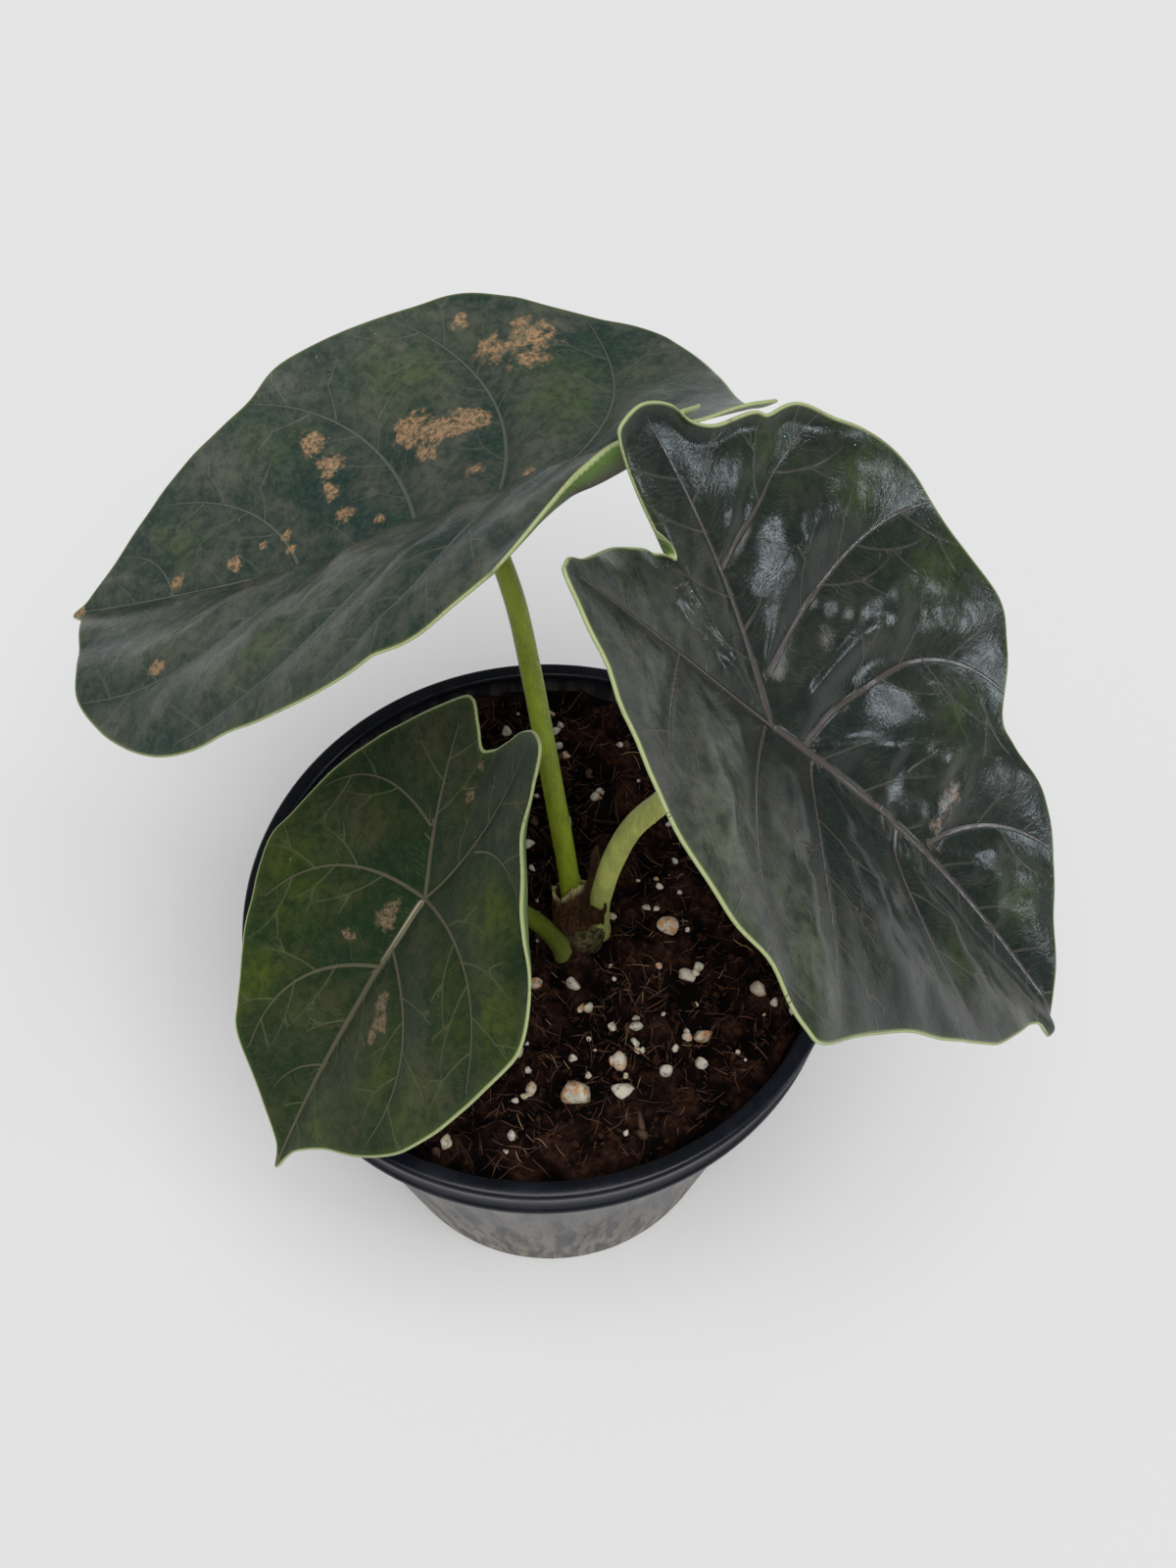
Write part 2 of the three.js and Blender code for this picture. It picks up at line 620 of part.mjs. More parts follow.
// grow adds a clearance to both faces
function bladeGeometry(leaf, grow = 0) {
  const margin = new THREE.CatmullRomCurve3(
    leaf.outline.map((point) => new THREE.Vector3(...point)), true, 'catmullrom', 0.5);
  const points = [];
  const faces = [];
  const rings = INNER_RINGS + STRIP_RINGS;
  const columns = BLADE_AROUND;
  const side = (offset) => {
    const first = points.length;
    points.push(bladePoint(leaf, 0, 0, offset).toArray());
    for (let ring = 1; ring <= rings; ring += 1) {
      for (let i = 0; i < columns; i += 1) {
        points.push(ringPoint(leaf, margin.getPoint(i / columns), ring, offset).toArray());
      }
    }
    return (ring, i) => (ring === 0 ? first : first + 1 + (ring - 1) * columns + (i % columns));
  };
  const top = side(BLADE_THICKNESS / 2 + grow);
  const under = side(-BLADE_THICKNESS / 2 - grow);
  for (let i = 0; i < columns; i += 1) {
    faces.push([top(0, 0), top(1, i), top(1, i + 1)]);
    faces.push([under(0, 0), under(1, i + 1), under(1, i)]);
    for (let ring = 1; ring < rings; ring += 1) {
      faces.push([top(ring, i), top(ring + 1, i), top(ring + 1, i + 1)]);
      faces.push([top(ring, i), top(ring + 1, i + 1), top(ring, i + 1)]);
      faces.push([under(ring, i), under(ring + 1, i + 1), under(ring + 1, i)]);
      faces.push([under(ring, i), under(ring, i + 1), under(ring + 1, i + 1)]);
    }
    faces.push([top(rings, i), under(rings, i), under(rings, i + 1)]);
    faces.push([top(rings, i), under(rings, i + 1), top(rings, i + 1)]);
  }
  return indexed(points, faces);
}

// A stalk that runs up into the root of its blade. grow adds a clearance.
function stalkBody(name, grow = 0) {
  const { route, bottomRadius, topRadius } = STALKS[name];
  return toSolid(stem([...route, LEAVES[name].attach], bottomRadius, topRadius, grow));
}

// The stalk ends just under its blade
function stalkGeometry(name) {
  return toGeometry(stalkBody(name).subtract(toSolid(bladeGeometry(LEAVES[name], GAP))));
}

const plantFinish = {
  blade: material(0x2c3a26, 0.35),
  stalk: material(0x7f9a45, 0.5),
};

const plant = new THREE.Group();
for (const name of Object.keys(LEAVES)) {
  plant.add(meshOf(`leaf_${name}`, bladeGeometry(LEAVES[name]), plantFinish.blade.clone()));
  plant.add(meshOf(`stalk_${name}`, stalkGeometry(name), plantFinish.stalk.clone()));
}

const stalkCutters = Object.keys(STALKS).map((name) => stalkBody(name, GAP));
const footCutters = [...stalkCutters, toSolid(rhizomeBody(GAP))];
plant.add(meshOf('rhizome', rhizomeGeometry(stalkCutters), material(0x6d6a3c, 0.6)));
plant.add(meshOf('sheath', sheathGeometry(footCutters), material(0x4a2a18, 0.7)));

const holder = new THREE.Group();
holder.add(meshOf('pot', potGeometry(), material(0x17181a, 0.3)));
holder.add(meshOf('soil', soilGeometry(footCutters), material(0x2e1d15, 0.95)));

const pottedPlant = new THREE.Group();
pottedPlant.add(holder, plant);

export default pottedPlant;
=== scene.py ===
import math

import bmesh
import bpy
import numpy as np
from mathutils import Matrix


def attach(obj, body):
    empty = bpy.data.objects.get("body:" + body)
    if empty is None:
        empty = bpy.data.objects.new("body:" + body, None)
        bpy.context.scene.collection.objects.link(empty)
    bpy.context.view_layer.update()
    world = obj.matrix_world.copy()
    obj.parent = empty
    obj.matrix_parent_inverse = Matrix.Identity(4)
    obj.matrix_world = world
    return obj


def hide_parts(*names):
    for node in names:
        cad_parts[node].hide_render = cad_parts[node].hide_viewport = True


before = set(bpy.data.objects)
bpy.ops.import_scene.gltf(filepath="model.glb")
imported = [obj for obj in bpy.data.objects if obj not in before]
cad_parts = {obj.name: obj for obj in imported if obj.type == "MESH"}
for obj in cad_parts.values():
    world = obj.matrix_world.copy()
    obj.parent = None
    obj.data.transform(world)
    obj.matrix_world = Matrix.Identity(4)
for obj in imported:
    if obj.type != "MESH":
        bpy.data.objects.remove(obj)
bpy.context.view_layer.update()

# Every size below is in millimetres, and MM turns it into the frame's metres
MM = 0.001

# Pot and soil, as on the solid model
RIM_RADIUS = 65.0
POT_HEIGHT = 110.5
BASE_RADIUS = 46.0
WALL = 1.4
BAND_HEIGHT = 13.0
BAND_STEP = 3.3
LIP_WIDTH = 3.8
FOOT_WIDTH = 6.0
PAD_RADIUS = 14.0
RECESS_DEPTH = 1.6
FLOOR_THICKNESS = 1.8
SOIL_BELOW_LIP = 8.0
SOIL_MOUND = 4.0
SOIL_BUMP = 0.9
CROWN_HOLLOW = 2.2
HOLLOW_RADIUS = 11.2
CROWN = (7.4, -2.5)
CROWN_TOP = 106.8
CROWN_RADIUS = 6.0
BLADE_THICKNESS = 0.6

BAND_OUTER = RIM_RADIUS - 0.8
WALL_TOP_RADIUS = BAND_OUTER - BAND_STEP
BAND_BOTTOM = POT_HEIGHT - BAND_HEIGHT
SOIL_TOP = POT_HEIGHT - SOIL_BELOW_LIP

# Camera: the photograph's place, its right and up directions, its lens and its sensor
CAMERA_PLACE = (9.50, -160.13, 411.04)
CAMERA_RIGHT = (0.99999, 0.00442, 0.00281)
CAMERA_UP = (-0.00524, 0.84432, 0.53582)
CAMERA_LENS = 36.0
CAMERA_SENSOR = 36.0

# Leaf shapes. A blade is first drawn flat, with u along the midrib from the stalk towards the tip
# and v to the left, seen from above. bend and curl are degrees per millimetre, fold is each half's
# rise at the midrib in degrees, and a pair holds the left half's value and the right's (for bend,
# the front's and the back's). An outline point is u, v and, where the margin's strip is rolled,
# how far it rolls up in degrees, or down where that is negative. A vein is a start, a control point,
# an end, and its width at the start.
# patches are the places and radii of greener spots. tones are duller, greyer spots, partly the leaf's own
# tone and partly painted sheen, and scuffs are tan spots, worn ones on the left leaf and painted highlights
# on the back and right leaves, each a place, a radius and a strength. A pad is a level oval: a place, half
# its length, half its width and its turn in degrees. margin is how pale the margin is, and roughness is that
# of the smoothest and of the dullest places.
LEAVES = {}
LEAVES["back"] = dict(
    attach=(-9.9, 29.6, 201.8), azimuth=174.2, pitch=32.5, roll=28.8,
    bend=(-0.13, -0.09), fold=(24, 19.6), grow=(0.085, 0.095), back_fold=-0.29,
    curl=(-1.28, 0.39), twist=-0.37, sway=0.0005, strip=7.0, quilt=2.6,
    outline=[
        (95, 0.5), (90.5, 4.5), (82, 20), (77.5, 29.5), (65.5, 40.5), (50.5, 47.5), (33, 48.5), (20.5, 49.5),
        (10, 50), (2, 50), (-7.5, 49), (-15, 46, 5), (-21.5, 43.8, 15), (-26, 45, 50), (-32, 41, 62),
        (-38, 36.8, 72), (-43.5, 36, 100), (-49, 35, 130), (-54, 32, 90), (-56, 27, 45), (-55, 20.5, 15),
        (-50, 12, 5), (-44.5, 5, 5), (-44, 0, 5), (-48, -5, 5), (-52, -10, 5), (-53.5, -14, 5), (-50, -18),
        (-46, -21), (-41.5, -28.5), (-37, -37), (-32.5, -44), (-27.5, -49), (-23, -52), (-12.5, -54),
        (0, -56), (9.5, -57.5), (19, -55), (30.5, -51.5), (46, -45), (54, -37.5), (67.5, -27.5), (80.5, -14),
        (91, -3),
    ],
    veins=[
        (0, 0, 45, 0, 93, 0, 1.7), (0, 0, -14, -8, -50, -16, 1.1), (0, 0, -18, 6, -48, 20, 1.1),
        (-3, -3, -2, -38, 24, -52, 1.1), (14, 0, 26, -34, 53, -37, 1.1), (41, 0, 51, -20, 73, -19, 0.9),
        (71, 0, 74, -10, 83, -10, 0.7), (-17, -8, -24, -30, -12, -52, 0.9), (0, 2, -8, 40, 49, 46, 1.1),
        (24, 0, 34, 38, 76, 30, 1.0), (52, 0, 60, 20, 84, 15, 0.8), (-15, 5, -18, 42, 14, 49, 0.9),
    ],
    patches=[
        (22, -42, 11), (-14, -30, 13), (48, -30, 8), (60, 20, 9), (30, 34, 10), (70, -12, 6),
    ],
    pads=[],
    deep=(0.019, 0.040, 0.034), grey=(0.082, 0.090, 0.068), green=(0.056, 0.088, 0.034),
    vein_colour=(0.105, 0.115, 0.092), twig_colour=(0.085, 0.095, 0.070),
    base_colour=(0.20, 0.20, 0.15), scuff_colour=(0.46, 0.285, 0.155),
    tone_colour=(0.112, 0.118, 0.094),
    tones=[
        (10, 24, 18, 0.55), (36, 28, 18, 0.7), (62, 16, 16, 0.75), (62, -26, 14, 0.7), (80, -8, 10, 0.6),
        (30, -46, 12, 0.5),
    ],
    # These tan spots are painted highlights: gold glints of a warm light on the crinkled blade.
    scuffs=[
        (7.5, -25, 4.4, 1), (13, -24, 3.8, 1), (19, -26, 4.2, 1), (14, -19, 3, 0.9), (94, 0, 2.2, 1),
        (36, -21, 3.2, 0.9), (40, -27, 3.2, 0.85), (35, -15, 2.4, 0.85), (31, -9, 2.2, 0.8),
        (-3, -46, 6, 0.75), (4, -43, 4.5, 0.7), (-3, -40, 4, 0.75), (11, -51, 2.4, 0.7), (45, -8, 1.6, 0.9),
        (43.5, -5, 1.3, 0.9), (23, -6, 1.6, 0.8), (3, -11, 2, 0.8), (-9, -7, 1.7, 0.7), (56, -4, 1.9, 0.95),
        (70, -3, 1.8, 0.95), (58, 28, 2.6, 0.65), (50, -7, 1.4, 0.7),
    ],
    margin=0.34, specular=0.3, roughness=(0.24, 0.34), lumps=1.0,
)
LEAVES["right"] = dict(
    attach=(37.7, -22.5, 210.6), azimuth=-21.3, pitch=45.9, roll=-7.3,
    bend=(-0.06, -0.2), fold=(26, 15.5), grow=(0, 0), back_fold=-0.03,
    curl=(0.08, -0.08), twist=0.02, sway=-0.0004, strip=4.0, quilt=2.9,
    outline=[
        (84, -2, -80), (80.5, 1, -20), (78.3, 3.5), (75, 8), (69.5, 14), (62, 22.5), (54, 28), (43, 30),
        (37, 32), (30, 41), (23, 45.5), (12, 46.5), (2.5, 47), (-7, 48), (-16.5, 46.5, 10), (-25, 42.5, 30),
        (-32.5, 38.5, 40), (-35.5, 33, 45), (-38, 31, 45), (-41.5, 24.5, 45), (-45.5, 21, 45), (-49, 20, 30),
        (-51.5, 18, 25), (-53, 15.3, 25), (-53, 11.3, 25), (-51.6, 10, 20), (-49, 9, 15), (-45.2, 8, 10),
        (-42, 7.2, 10), (-39, 6.5, 15), (-37.5, 6, 40), (-36.8, 5.6, 150), (-36.2, 4.8, 140), (-35, 4, 20),
        (-37, 3, 10), (-41, -1), (-43.3, -4.4), (-48, -12), (-50.7, -14.7), (-51.3, -16.6), (-50.8, -18.5),
        (-44, -22.5), (-33, -31), (-21, -39), (-9, -44), (1.5, -46.5), (10.5, -51), (14.5, -51.5),
        (23, -44.5), (34.5, -36), (47, -29), (58, -22), (63.5, -18), (69.5, -11.5), (74, -6.5), (77.5, -4.3),
    ],
    veins=[
        (0, 0, 40, 9, 84, 0, 1.8), (0, 0, -22, 14, -50, 16, 1.15), (0, 0, -24, -5, -48, -16, 1.1),
        (-24, 12, -28, 26, -28, 41, 0.9), (-6, 6, -12, 36, 2, 49, 1.2), (7, 3, 10, 34, 36, 35, 1.4),
        (38, 6, 46, 20, 62, 22, 1.4), (-24, -7, -27, -24, -22, -40, 0.9), (-2, -3, -8, -32, 9, -52, 1.0),
        (10, 1, 14, -20, 20, -46, 0.9), (31, 4, 39, -10, 56, -21, 1.2),
    ],
    patches=[
        (8, 40, 9), (-14, 40, 8), (30, 26, 7), (50, -14, 7), (-30, 30, 7), (60, 12, 6), (-8, -36, 12),
        (12, -42, 9),
    ],
    pads=[
        (-20, 20, 8.5, 5, -33), (15, 17.5, 9.5, 5.6, 11), (36, 13, 7.5, 2.6, 105), (26, 8, 7, 2.2, 105),
        (49, 11, 4.2, 2.8, 60), (58, 8, 4, 1.8, 105), (-4, 21, 3.4, 2.4, 20), (-14, 39, 4.5, 1.5, -33),
    ],
    deep=(0.012, 0.019, 0.016), grey=(0.027, 0.030, 0.024), green=(0.036, 0.058, 0.018),
    vein_colour=(0.090, 0.072, 0.065), twig_colour=(0.074, 0.068, 0.054),
    # The midrib's base stripes here are bluish white as a painted highlight.
    base_colour=(0.36, 0.40, 0.42), scuff_colour=(0.24, 0.19, 0.15),
    # These tan spots are a painted highlight.
    scuffs=[
        (36, 15, 2.2, 0.7), (36.5, 12, 2.2, 0.75), (37, 9, 1.8, 0.7),
    ],
    tone_colour=(0.118, 0.128, 0.094),
    # These grey spots, on the half where v is below 0, are painted sheen.
    tones=[
        (-30, -14, 15, 0.9), (-14, -30, 16, 0.95), (4, -40, 12, 0.8), (64, -10, 9, 0.3),
    ],
    margin=0.45, specular=0.36, roughness=(0.15, 0.26), lumps=1.25,
)
LEAVES["left"] = dict(
    attach=(-21, -19.7, 148.6), azimuth=-131.4, pitch=35.2, roll=27.5,
    bend=(0.22, -0.48), fold=(9, 20.5), grow=(-0.05, 0), back_fold=0.03,
    curl=(-0.57, 0.02), twist=-0.19, sway=-0.001, strip=3.5, quilt=1.7,
    outline=[
        (67, 0), (63, 1.5), (59, 4), (53, 10.5), (47.5, 19), (40, 27), (31.5, 32), (23, 35.5), (10.5, 40),
        (3, 41, 10), (-7, 38.5, 70), (-12.5, 35, 100), (-18, 31, 100), (-23, 27.5, 85), (-28.5, 24, 70),
        (-35.5, 20.5, 20), (-38, 19.5), (-42.5, 18.5), (-43, 14), (-40, 8), (-37, 5, 20), (-32, -1.5, 20),
        (-31, -4.5, 20), (-34.5, -8, 10), (-38, -11), (-36.5, -14.5), (-28, -23), (-20.5, -28.5),
        (-12.5, -33), (-4.5, -35.5), (4.5, -37), (12.5, -38), (24.5, -33), (33.5, -28.5), (41, -24),
        (46.5, -20.5), (55.5, -9), (61.5, -2.5),
    ],
    veins=[
        (0, 0, 30, -1, 65, 0, 2.6), (0, 0, -14, -10, -32, -12, 1.35), (0, 0, -16, 8, -41, 13, 1.35),
        (-12, -8, -18, -27, -4, -34, 0.9), (-15, 8, -21, 17, -16, 26, 0.8), (0, 0, 2, -25, 20, -31, 1.1),
        (16, 0, 27, -21, 47, -17, 1.1), (40, 0, 44, -7, 51, -8, 0.7), (0, 0, -4, 28, 19, 35, 1.1),
        (12, 0, 18, 24, 43, 20, 1.1),
    ],
    patches=[
        (14, -28, 9), (34, -22, 8), (6, 32, 8), (30, 22, 9), (-12, 22, 8), (50, 4, 6),
    ],
    pads=[],
    deep=(0.013, 0.030, 0.013), grey=(0.037, 0.043, 0.018), green=(0.060, 0.086, 0.011),
    vein_colour=(0.110, 0.100, 0.064), twig_colour=(0.090, 0.102, 0.050),
    base_colour=(0.45, 0.40, 0.27), scuff_colour=(0.235, 0.170, 0.105),
    scuffs=[
        (8, -4.5, 2.6, 0.85), (5, -5, 2, 0.8), (20, 7, 2.4, 0.9), (23, 9, 2.4, 0.9), (26, 9.5, 1.8, 0.8),
        (-22, -2, 1.6, 0.7), (-28, -2, 1.6, 0.7), (15, -10, 2, 0.6), (66, 0, 2, 1),
    ],
    tone_colour=(0.062, 0.064, 0.036),
    tones=[
        (-26, -14, 11, 0.95), (40, 0, 14, 0.6), (24, 28, 12, 0.8), (-2, -28, 9, 0.6), (-24, 14, 9, 0.6),
    ],
    margin=0.78, specular=0.1, roughness=(0.32, 0.42), lumps=0.6,
)

# Stalk routes, from inside the rhizome up to near the blade. Their colours are lit and shaded copies of one
# skin: the right stalk's bright colour is painted light.
STALKS = {
    "back": {
        "route": [(6.2, -1.5, 98), (6.3, -1.2, 105), (5.8, 2.3, 113.2), (4, 7.1, 128.3), (0.9, 14.1, 151),
                  (-1.4, 19.1, 167.3), (-3.5, 23.1, 180.3), (-5.9, 26.1, 190.2)],
        "radii": (2.35, 1.9), "colour": (0.270, 0.345, 0.018),
    },
    "right": {
        "route": [(12, -0.8, 98), (12, -1.2, 105), (12, -2.4, 112), (12.4, -5.2, 124), (14.3, -9.5, 145.2),
                  (17.6, -13.4, 164.9), (23.1, -16.4, 179.9), (30.4, -19.5, 195.7)],
        # painted light: raised for the light and glow this stalk doesn't get under its blade
        "radii": (2.4, 2.0), "colour": (0.580, 0.630, 0.170),
    },
    "left": {
        "route": [(5, -7.2, 98), (3.4, -7.6, 106), (-1, -9, 119), (-6.5, -12, 131), (-13.5, -16, 141)],
        "radii": (2.1, 1.7), "colour": (0.120, 0.150, 0.010),
    },
}


# Mesh and noise helpers
def show(name, data):
    """A new object in the scene."""
    made = bpy.data.objects.new(name, data)
    bpy.context.scene.collection.objects.link(made)
    return made


def add_piece(name, points, faces, node, materials, layers=None, indices=None):
    """A smooth mesh from points in millimetres that rides on the one body. It replaces a CAD node if
    one is named. layers are values at the points, and indices are the faces' material numbers."""
    mesh = bpy.data.meshes.new(name)
    points = np.asarray(points, float) * MM
    mesh.from_pydata(points.tolist(), [], faces)
    mesh.polygons.foreach_set("use_smooth", [True] * len(mesh.polygons))
    for material in materials:
        mesh.materials.append(material)
    if indices is not None:
        mesh.polygons.foreach_set("material_index", np.asarray(indices, np.int32))
    for layer, values in (layers or {}).items():
        attribute = mesh.attributes.new(layer, "FLOAT", "POINT")
        attribute.data.foreach_set("value", np.asarray(values, np.float32))
    mesh.update()
    piece = show(name, mesh)
    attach(piece, "root")
    if node:
        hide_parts(node)


def lattice_noise(x, y, size, seed):
    """Smooth noise from -1 to 1, with lumps about size across."""
    cells = 64
    table = np.random.default_rng(seed).uniform(-1, 1, (cells, cells))
    x = np.asarray(x, float) / size
    y = np.asarray(y, float) / size
    column = np.floor(x).astype(int)
    row = np.floor(y).astype(int)
    across = smooth_step(0, 1, x - column)
    down = smooth_step(0, 1, y - row)

    def between_corners(below):
        left = table[column % cells, (row + below) % cells]
        right = table[(column + 1) % cells, (row + below) % cells]
        return left * (1 - across) + right * across

    return between_corners(0) * (1 - down) + between_corners(1) * down


def noise_sum(x, y, *parts):
    """Several noises on top of each other, each given as its height, size and seed."""
    return sum(height * lattice_noise(x, y, size, seed) for height, size, seed in parts)


def smooth_step(low, high, value):
    """0 below low, 1 above high, and smooth between them."""
    share = np.clip((np.asarray(value, float) - low) / (high - low), 0, 1)
    return share * share * (3 - 2 * share)


def curve_through(points, parameters, closed=False):
    """A Catmull-Rom curve through the points, read at parameters from 0 to 1."""
    points = np.asarray(points, float)
    count = len(points)
    place = np.asarray(parameters, float) * (count if closed else count - 1)
    first = np.floor(place).astype(int)
    if not closed:
        first = np.clip(first, 0, count - 2)
        points = np.vstack([2 * points[0] - points[1], points, 2 * points[-1] - points[-2]])
    share = (place - first)[:, None]
    if closed:
        a, b, c, d = (points[(first + step) % count] for step in (-1, 0, 1, 2))
    else:
        a, b, c, d = (points[first + step] for step in (0, 1, 2, 3))
    return 0.5 * (2 * b + (c - a) * share + (2 * a - 5 * b + 4 * c - d) * share ** 2
                  + (3 * b - a - 3 * c + d) * share ** 3)


def ring_faces(rings, columns):
    """Quads between rings of points, each ring closed on itself."""
    faces = []
    for ring in range(rings - 1):
        for i in range(columns):
            a = ring * columns + i
            b = ring * columns + (i + 1) % columns
            faces.append((a, b, b + columns, a + columns))
    return faces


def turned_over(faces):
    return [face[::-1] for face in faces]


def full_turn(sides):
    """The angles of sides points round a circle."""
    return np.arange(sides) * 2 * math.pi / sides


def turned(profile, sides, middle=(0.0, 0.0), bumps=1.0):
    """Rings of points from a profile of radii and heights turned round an upright axis."""
    angles = full_turn(sides)
    radii = profile[:, :1] * bumps
    return np.stack([middle[0] + radii * np.cos(angles), middle[1] + radii * np.sin(angles),
                     np.repeat(profile[:, 1:], sides, axis=1)], axis=-1)


def scaled(colour, share):
    """The colour, darker by a share."""
    return tuple(share * part for part in colour)


# Shader helpers
class Shader:
    """A material's node tree, built by short calls that return sockets."""

    def __init__(self, name):
        self.material = bpy.data.materials.new(name)
        self.material.use_nodes = True
        self.tree = self.material.node_tree
        self.surface = self.tree.nodes["Principled BSDF"]
        self.colour = None
        self.normal = None

    def node(self, kind, **settings):
        made = self.tree.nodes.new(kind)
        for key, value in settings.items():
            setattr(made, key, value)
        return made

    def put(self, value, socket):
        if isinstance(value, bpy.types.NodeSocket):
            self.tree.links.new(value, socket)
        elif isinstance(value, tuple) and len(value) == 3 and len(socket.default_value) == 4:
            socket.default_value = (*value, 1.0)
        else:
            socket.default_value = value

    def layer(self, name):
        return self.node("ShaderNodeAttribute", attribute_name=name).outputs["Fac"]

    def position(self):
        return self.node("ShaderNodeTexCoord").outputs["Object"]

    def math(self, operation, a, b=0.0):
        made = self.node("ShaderNodeMath", operation=operation)
        self.put(a, made.inputs[0])
        self.put(b, made.inputs[1])
        return made.outputs[0]

    def times(self, a, b):
        return self.math("MULTIPLY", a, b)

    def plus(self, a, b):
        return self.math("ADD", a, b)

    def ramp(self, value, low, high, start=0.0, end=1.0):
        """start below low, end above high, and smooth between them."""
        made = self.node("ShaderNodeMapRange", interpolation_type="SMOOTHSTEP")
        self.put(value, made.inputs["Value"])
        self.put(low, made.inputs["From Min"])
        self.put(high, made.inputs["From Max"])
        self.put(start, made.inputs["To Min"])
        self.put(end, made.inputs["To Max"])
        return made.outputs["Result"]

    def fall(self, value, low, high, start=1.0):
        """start below low, 0 above high, and smooth between them."""
        return self.ramp(value, low, high, start, 0.0)

    def mix(self, share, a, b):
        made = self.node("ShaderNodeMix", data_type="RGBA")
        self.put(share, made.inputs["Factor"])
        self.put(a, made.inputs["A"])
        self.put(b, made.inputs["B"])
        return made.outputs["Result"]

    def ground(self, share, a, b):
        """The first colour: a where share is 0 and b where it is 1."""
        self.colour = self.mix(share, a, b)

    def paint(self, share, colour, strength=None):
        """Lays a colour over those before it."""
        self.colour = self.mix(self.times(share, strength) if strength else share, self.colour, colour)

    def noise(self, size, detail=3.0, roughness=0.55, stretch=None):
        """Noise with lumps about size millimetres across."""
        place = self.position()
        if stretch:
            longer = self.node("ShaderNodeVectorMath", operation="MULTIPLY")
            self.put(place, longer.inputs[0])
            self.put(stretch, longer.inputs[1])
            place = longer.outputs[0]
        made = self.node("ShaderNodeTexNoise")
        self.put(place, made.inputs["Vector"])
        self.put(1 / (size * MM), made.inputs["Scale"])
        self.put(detail, made.inputs["Detail"])
        self.put(roughness, made.inputs["Roughness"])
        return made.outputs["Fac"]

    def specks(self, size, bare):
        """1 on small round specks and 0 off them, one speck in a cell of that size. bare is the share
        of cells without one."""
        made = self.node("ShaderNodeTexVoronoi")
        self.put(self.position(), made.inputs["Vector"])
        self.put(1 / (size * MM), made.inputs["Scale"])
        chosen = self.ramp(made.outputs["Color"], bare, bare + 0.02)
        return self.times(self.fall(made.outputs["Distance"], 0.04, 0.08), chosen)

    def emboss(self, height, distance):
        """A bump distance millimetres high where height goes from 0 to 1, on top of those before it."""
        made = self.node("ShaderNodeBump")
        self.put(height, made.inputs["Height"])
        made.inputs["Strength"].default_value = 1.0
        made.inputs["Distance"].default_value = distance * MM
        if self.normal:
            self.put(self.normal, made.inputs["Normal"])
        self.normal = made.outputs["Normal"]

    def finish(self, roughness, **settings):
        self.put(self.colour, self.surface.inputs["Base Color"])
        self.put(roughness, self.surface.inputs["Roughness"])
        if self.normal:
            self.put(self.normal, self.surface.inputs["Normal"])
        for key, value in settings.items():
            self.surface.inputs[key.replace("_", " ")].default_value = value
        return self.material


# Leaf materials
MARGIN = (0.36, 0.41, 0.19)
MARGIN_BAND = (0.060, 0.115, 0.020)
UNDER_MARGIN = (0.095, 0.175, 0.028)
UNDERSIDE = (0.120, 0.118, 0.082)
UNDERSIDE_VEIN = (0.200, 0.210, 0.130)
DUST = (0.60, 0.61, 0.57)


def vein_mask(shader, widen=1.0):
    """1 on a vein and 0 off it. The across layer is signed, so its zero is the vein's middle."""
    across = shader.math("ABSOLUTE", shader.layer("across"))
    width = shader.times(shader.layer("width"), widen)
    share = shader.math("DIVIDE", across, width)
    near = shader.fall(shader.layer("away"), 1.6, 2.4)
    return shader.times(shader.fall(share, 0.5, 0.95), near)


def vein_place(shader):
    """Where a point lies along the veins, in millimetres, at the slant of the side veins."""
    slant = shader.times(shader.layer("away"), 0.45)
    wander = shader.times(shader.noise(7.0, 2.0), 3.0)
    return shader.plus(shader.math("SUBTRACT", shader.layer("along"), slant), wander)


def fine_lines(shader, spacing):
    """Fine striations that leave each vein at a slant: 1 on a line and 0 between lines."""
    place = shader.plus(vein_place(shader), shader.times(shader.noise(3.0, 3.0), 3.5))
    whole = shader.ramp(wave(shader, place, spacing), 0.2, 1.0)
    broken = shader.times(whole, shader.ramp(shader.noise(4.5, 3.0), 0.40, 0.60))
    return shader.times(broken, shader.layer("fade"))


def twig_mask(shader):
    """1 on one of the small veins that branch off the others, and 0 off it."""
    line = shader.fall(shader.math("ABSOLUTE", shader.layer("twig_across")), 0.10, 0.30)
    near = shader.fall(shader.layer("twig_away"), 0.8, 1.3)
    return shader.times(shader.times(line, near), shader.layer("twig_fade"))


def wave(shader, value, period):
    """From -1 to 1 and back each time that value grows by period."""
    return shader.math("SINE", shader.times(value, 2 * math.pi / period))


